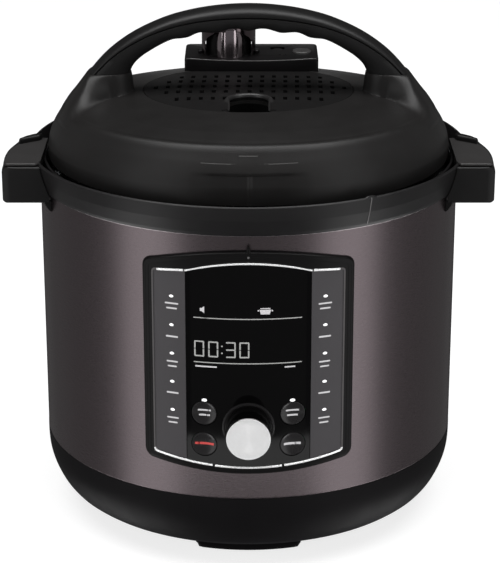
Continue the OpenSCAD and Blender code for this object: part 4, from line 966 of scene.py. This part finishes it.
# bright round line over the flat one: the chrome trim's lit copy, whose light colour is a painted highlight beside the
# flat trim's painted shade
def wire_on(name, pts, w, r0, h, mat, closed=False):
    loops = []
    n = len(pts)
    for i in range(n):
        a = pts[(i - 1) % n] if closed or i else pts[0]
        b = pts[(i + 1) % n] if closed or i < n - 1 else pts[-1]
        l = math.dist(a, b) or 1.0
        nx, nz = (b[1] - a[1]) / l, -(b[0] - a[0]) / l
        loops.append([onp(pts[i][0] + nx * w * math.cos(rad(t)), pts[i][1] + nz * w * math.cos(rad(t)), r0 + h * math.sin(rad(t))) for t in range(0, 360, 30)])
    return rings(name, loops, mat, cap0=not closed, cap1=not closed, close_v=closed, sharp=70)


o1 = bow(66.85, 232.25, 84.15, 3.2, 7.6, 2.6, 60)
k = len(o1)
upper_r = [p for p in o1[:61] if p[0] >= 44.6] + o1[61:66]
right = upper_r + o1[66:71]
lower = o1[71:132]
left_side = o1[132:137] + o1[137:142] + [p for p in o1[:61] if p[0] <= -44.6]
main = right + lower + left_side
arch = [(x, 237.2 - 7.0 * (x / 44.7) ** 2) for x in [-44.1 + 88.2 * i / 40 for i in range(41)]]
# the bright lower line in three lengths with narrow gaps, a painted highlight on the chrome trim
foot = resample(o1[66:137], 260)
trims = [wire_on("trim_foot", resample([p for p in foot if lo < p[0] < hi], 48), 0.78, 159.1, 0.78, M["trim"]) for lo, hi in ((25.1, 90), (-24.1, 24.1), (-90, -25.1))]
trims.append(wire_on("trim_arch", resample(arch, 48), 0.74, 159.1, 0.76, M["trim"]))
# broader bright bars along the tops of the two strips, also painted highlight on the trim
for s in (-1, 1):
    bar = [(s * x, 232.05 - 3.2 * (x / 66.85) ** 2) for x in [45.2 + 18.5 * i / 12 for i in range(13)]]
    trims.append(wire_on("trim_bar", bar, 0.95, 159.1, 0.8, M["trim"]))
trim = join("trim_round_highlight", *trims)
smooth_by_angle(trim, 70)
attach(trim, "root")


def marks(name, outlines, r0, r1, mat, body, place=None):
    """Flat printed marks: outlines in the panel's plane, a hair thick."""
    verts, faces = [], []
    put = place or onp
    for o in outlines:
        b, n = len(verts), len(o)
        for r in (r0, r1):
            verts += [put(x, z, r) for x, z in o]
        faces.append(tuple(b + n + i for i in range(n)))
        faces.append(tuple(b + n - 1 - i for i in range(n)))
        faces += [(b + i, b + (i + 1) % n, b + n + (i + 1) % n, b + n + i) for i in range(n)]
    ob = mesh_mm(name, verts, faces, mat, 30)
    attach(ob, body)
    return ob


def rect(x0, x1, z0, z1):
    n = max(1, int((x1 - x0) / 4.0))
    out = []
    for i in range(n):
        a, b = x0 + (x1 - x0) * i / n, x0 + (x1 - x0) * (i + 1) / n
        out.append([(a, z0), (b, z0), (b, z1), (a, z1)])
    return out


def pill(cx, cz, w, h, n=12):
    r = min(w, h) / 2
    out = []
    for i in range(n + 1):
        t = rad(-90 + 180 * i / n)
        out.append((cx + w / 2 - r + r * math.cos(t), cz + r * math.sin(t)))
    for i in range(n + 1):
        t = rad(90 + 180 * i / n)
        out.append((cx - w / 2 + r + r * math.cos(t), cz + r * math.sin(t)))
    return out


def oval(cx, cz, a, b, n=24):
    return [(cx + a * math.cos(2 * math.pi * i / n), cz + b * math.sin(2 * math.pi * i / n)) for i in range(n)]


leds = [oval(s * 53.6, z, 1.55, 0.95) for s in (-1, 1) for z in (210.4, 189.1, 167.8, 146.5, 125.0)]
marks("strip_lights", leds, 158.7, 159.02, M["led"], "root")
key_leds = [oval(s * 31.0, 134.9, 1.9, 1.15) for s in (-1, 1)]
marks("key_lights", key_leds, 158.9, 159.2, M["led"], "root")

# plain bars where the strips carry their legends
bars = []
for s in (-1, 1):
    for z, two, w in ((203.2, True, 9.5), (180.4, False, 8.6), (159.8, True, 8.0), (138.0, False, 8.4), (117.0, True, 8.2)):
        if two:
            bars += [pill(s * 53.4, z + 1.9, w, 1.15), pill(s * 53.4, z - 1.7, w * 0.8, 1.15)]
        else:
            bars.append(pill(s * 53.4, z, w, 1.25))
marks("strip_bars", bars, 158.8, 158.98, M["mark"], "root")

lines = rect(-38.2, 37.2, 196.25, 196.95) + rect(-38.2, 37.2, 163.15, 163.85)
marks("display_lines", lines, 158.95, 159.16, M["dim"], "root")
SEG = {"0": "abcdef", "3": "abcdg"}


def digit(x0, ch):
    w, z0, z1, t = 7.0, 167.7, 179.5, 1.0
    zm = (z0 + z1) / 2
    g = 0.28
    s = {"a": (x0 + g, x0 + w - g, z1 - t, z1), "d": (x0 + g, x0 + w - g, z0, z0 + t), "g": (x0 + g, x0 + w - g, zm - t / 2, zm + t / 2),
         "f": (x0, x0 + t, zm + g, z1 - g - 0.2), "b": (x0 + w - t, x0 + w, zm + g, z1 - g - 0.2), "e": (x0, x0 + t, z0 + g + 0.2, zm - g), "c": (x0 + w - t, x0 + w, z0 + g + 0.2, zm - g)}
    out = []
    for k_ in SEG[ch]:
        a, b_, c_, d = s[k_]
        out.append([(a, c_), (b_, c_), (b_, d), (a, d)])
    return out


digits = digit(-37.8, "0") + digit(-28.0, "0") + digit(-15.8, "3") + digit(-6.3, "0")
digits += [oval(-18.4, 176.2, 0.6, 0.6, 10), oval(-18.4, 171.0, 0.6, 0.6, 10)]
marks("display_digits", digits, 158.95, 159.16, M["dim"], "root")
small = [[(-33.6, 201.6), (-32.4, 201.6), (-30.6, 200.2), (-30.6, 205.2), (-32.4, 203.8), (-33.6, 203.8)]]
small += [[(8.6, 200.2), (14.8, 200.2), (15.8, 203.6), (7.6, 203.6)], [(6.4, 202.4), (7.4, 202.4), (7.4, 203.4), (6.4, 203.4)], [(16.0, 202.4), (17.0, 202.4), (17.0, 203.4), (16.0, 203.4)],
          [(8.2, 204.2), (15.2, 204.2), (15.2, 204.8), (8.2, 204.8)]]
small += rect(-37.1, -22.1, 159.9, 160.95) + rect(25.3, 32.7, 159.9, 160.95)
marks("display_marks", small, 158.95, 159.2, M["mark"], "root")

# dished keys, square to the panel where they stand
KX = 31.2
for s, side in ((-1, "left"), (1, "right")):
    ph = math.asin(KX / 158.95)
    for kz, row in ((124.8, "upper"), (101.1, "lower")):
        def tf(x, y, z, s=s, kz=kz):
            # x along the panel, y up, z outward
            R = 158.95 + z
            return (s * (R * math.sin(ph)) + x * math.cos(ph), -(R * math.cos(ph)) + s * x * math.sin(ph), kz + y)
        prof = [(0, -1.55), (2.5, -1.44), (4.5, -1.2), (6.2, -0.85), (7.4, -0.48), (8.1, -0.16), (8.4, -0.02), (8.65, -0.03), (8.85, -0.2), (8.95, -0.55), (8.95, -4.6), (0, -4.6)]
        name = "key_%s_%s" % (row, side)
        ob = revolve("dish_" + row + "_" + side, prof, M["key"], n=72, tf=tf, sharp=50, closed=False)
        stem = rings("stem", [[(s * KX + 2.4 * math.cos(rad(t)), -d, kz + 2.4 * math.sin(rad(t))) for t in range(0, 360, 24)] for d in (144.7, 153.2)], M["key"], cap0=True, cap1=True, sharp=40)
        ob = join("dish_" + row + "_" + side, ob, stem)
        smooth_by_angle(ob, 50)
        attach(ob, name)
        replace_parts(ob, name)

        def on_key(x, z, r, s=s, kz=kz):
            rho = math.hypot(x, z)
            dish = -1.55 * (1 - (rho / 8.6) ** 2) if rho < 8.6 else 0.0
            R = 158.95 + dish + r
            return (s * (R * math.sin(ph)) + x * math.cos(ph), -(R * math.cos(ph)) + s * x * math.sin(ph), kz + z)
        if row == "upper":
            o_ = [pill(0, 1.9, 9.4, 1.25), pill(0, -1.8, 7.8, 1.25)]
            mt = M["mark"]
        else:
            o_ = [pill(0, 0, 13.6 if s < 0 else 12.2, 1.7)]
            mt = M["mark_red"] if s < 0 else M["mark"]
        # short cells, so that the print follows the dish
        cells = []
        for o__ in o_:
            xs = [p[0] for p in o__]
            zs = [p[1] for p in o__]
            x0, x1, z0, z1 = min(xs), max(xs), min(zs), max(zs)
            m_ = 10
            for i in range(m_):
                a, b_ = x0 + (x1 - x0) * i / m_, x0 + (x1 - x0) * (i + 1) / m_
                cells.append([(a, z0), (b_, z0), (b_, z1), (a, z1)])
        marks("print_" + row + "_" + side, cells, -0.03, 0.16, mt, name, on_key)

# knob and its ring
face = revolve("knob_face", [(0, 180.72), (9, 180.68), (13.9, 180.68), (14.3, 180.78), (14.7, 180.98), (15.1, 181.0), (15.4, 180.85), (15.5, 180.5), (15.4, 180.1), (0, 180.1)],
               M["knob"], n=128, tf=about_y(0, 115.5), sharp=32, closed=False)
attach(face, "knob")
prof = [(0, 180.3), (15.2, 180.3), (15.5, 180.2), (15.7, 179.95), (15.8, 179.6), (15.8, 175.0), (15.8, 168.0), (15.8, 162.0), (15.4, 161.1), (14.6, 160.95), (0, 160.95)]
knob = revolve("knob_turned", prof, M["barrel"], n=128, tf=about_y(0, 115.5), sharp=32, closed=False)
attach(knob, "knob")
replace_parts(knob, "knob")
prof = [(3.6, 156.75), (18.6, 156.75), (18.62, 159.3), (18.35, 159.95), (17.8, 160.2), (17.1, 160.2), (16.6, 159.95), (16.42, 159.3), (16.4, 158.65), (3.6, 158.65)]
ring = revolve("knob_ring_turned", prof, M["ring"], n=128, tf=about_y(0, 115.5), sharp=40)
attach(ring, "root")
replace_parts(ring, "knob_ring")

# ------------------------------------------------------------------ rear: rounded collection cup
def cup_outline(w, y0, y1, r, n=8):
    return fillet([(-w, y0), (w, y0), (w, y1 - 2.2), (w * 0.55, y1), (-w * 0.55, y1), (-w, y1 - 2.2)], [1.0, 1.0, r, r * 2, r * 2, r], n)


o_out, o_in = cup_outline(23.5, 161.0, 181.0, 3.0), cup_outline(21.3, 163.3, 178.7, 2.2)
loops = [[(x, y, z) for x, y in inward(o_out, d)] for d, z in ((2.4, 224.0), (0.9, 224.5), (0.2, 225.6), (0.0, 227.0), (0.0, 253.2), (0.3, 253.9))]
loops += [[(x, y, z) for x, y in inward(o_in, d)] for d, z in ((-0.2, 253.95), (0.0, 253.5), (0.0, 228.5), (0.6, 226.9), (1.8, 226.3))]
cup = rings("cup_moulding", loops, M["cup"], cap0=True, cap1=True, sharp=40)
grooves = []
for s in (-1, 1):
    grooves.append(rings("g", [[(s * 12 + dx, y, z) for dx, z in ((-2.3, 237.6), (2.3, 237.6), (2.3, 241.4), (-2.3, 241.4))] for y in (159.0, 162.9)], None, cap0=True, cap1=True))
cup_in = cut(cup, *grooves)
smooth_by_angle(cup, 40)
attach(cup, "condensation_collector")
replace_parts(cup, "condensation_collector")

# ------------------------------------------------------------------ camera, light and floor
cam_data = bpy.data.cameras.new("camera")
cam = bpy.data.objects.new("camera", cam_data)
scene.collection.objects.link(cam)
cam.location = (0.0011, -1.504, 0.7076)
cam.rotation_euler = (rad(90 - 19.76), 0, 0)
cam_data.sensor_fit = "AUTO"
cam_data.sensor_width = 36.0
cam_data.lens = 2081.5 / 563 * 36.0
cam_data.clip_start, cam_data.clip_end = 0.05, 60
scene.camera = cam

floor_me = bpy.data.meshes.new("floor")
floor_me.from_pydata([(-12, -8, 0), (12, -8, 0), (12, 16, 0), (-12, 16, 0)], [], [(0, 1, 2, 3)])
floor = bpy.data.objects.new("floor", floor_me)
scene.collection.objects.link(floor)
fm, fnt, fb = new_mat("floor_white")
fb.inputs["Base Color"].default_value = (0.34, 0.34, 0.34, 1)
fb.inputs["Emission Color"].default_value = (1, 1, 1, 1)
fb.inputs["Emission Strength"].default_value = 0.77
fb.inputs["Roughness"].default_value = 0.6
fb.inputs["Specular IOR Level"].default_value = 0.2
floor_me.materials.append(fm)
floor.visible_glossy = False


def area(name, loc, target, w, h, radiance):
    l = bpy.data.lights.new(name, "AREA")
    l.shape, l.size, l.size_y, l.energy = "RECTANGLE", w, h, radiance * math.pi * w * h
    o = bpy.data.objects.new(name, l)
    scene.collection.objects.link(o)
    o.location = loc
    d = Vector(target) - Vector(loc)
    o.rotation_euler = d.to_track_quat("-Z", "Y").to_euler()
    o.visible_camera = False
    return o


def card(name, corners, value):
    """A sheet that only mirrors see: a flag when value is 0, a reflector card otherwise."""
    me = bpy.data.meshes.new(name)
    me.from_pydata(corners, [], [(0, 1, 2, 3)])
    o = bpy.data.objects.new(name, me)
    scene.collection.objects.link(o)
    m, nt, b = new_mat(name + "_card")
    b.inputs["Base Color"].default_value = (0, 0, 0, 1)
    b.inputs["Roughness"].default_value = 1.0
    b.inputs["Specular IOR Level"].default_value = 0.0
    b.inputs["Emission Color"].default_value = (1, 1, 1, 1)
    b.inputs["Emission Strength"].default_value = value
    me.materials.append(m)
    o.visible_camera = o.visible_diffuse = o.visible_shadow = o.visible_transmission = False
    return o


def at(az, dist, z):
    """A place seen from the part at an azimuth from -Y towards +X."""
    return (dist * math.sin(rad(az)), -dist * math.cos(rad(az)), z)


area("top_soft", (0, -0.15, 2.8), (0, 0, 0.3), 3.8, 1.7, 5.6)
area("left_soft", at(-54, 2.0, 0.3), (0, 0, 0.3), 1.15, 3.2, 1.15)
area("right_soft", at(54, 2.0, 0.3), (0, 0, 0.3), 1.15, 3.2, 1.15)
fill = area("front_fill", (0, -2.5, 0.55), (0, 0, 0.15), 1.6, 1.2, 3.4)
fill.visible_glossy = False
card("back_flag", [(-2.6, 2.4, 0.46), (2.6, 2.4, 0.46), (2.6, 2.0, 4.2), (-2.6, 2.0, 4.2)], 0.03)
card("low_front", [at(-30, 2.4, -1.6), at(30, 2.4, -1.6), at(30, 2.4, -0.1), at(-30, 2.4, -0.1)], 0.20)
for k in range(8):
    a0, a1 = -40 + 10 * k, -30 + 10 * k
    card("apron_%d" % k, [at(a0, 1.157, -0.385), at(a1, 1.157, -0.385), at(a1, 1.157, -0.339), at(a0, 1.157, -0.339)], 2.0)
for s, side in ((-1, "left"), (1, "right")):
    card("wing_" + side, [at(s * 82, 2.3, -1.6), at(s * 132, 2.3, -1.6), at(s * 132, 2.3, 1.2), at(s * 82, 2.3, 1.2)], 0.17)
    for a0, a1, value in ((132, 143, 0.12), (143, 156, 0.15), (156, 174, 0.0), (174, 180, 0.5)):
        card("back_%s_%d" % (side, a0), [at(s * a0, 2.3, -1.6), at(s * a1, 2.3, -1.6), at(s * a1, 2.3, 0.45), at(s * a0, 2.3, 0.45)], value)
    card("low_" + side, [at(s * 62, 2.2, -4.2), at(s * 128, 2.2, -4.2), at(s * 128, 2.2, -1.7), at(s * 62, 2.2, -1.7)], 3.6)

world = bpy.data.worlds.new("studio")
scene.world = world
world.use_nodes = True
bg = world.node_tree.nodes["Background"]
bg.inputs["Color"].default_value = (0.96, 0.96, 1.0, 1)
bg.inputs["Strength"].default_value = 0.14

scene.view_settings.view_transform = "Standard"
scene.view_settings.look = "None"
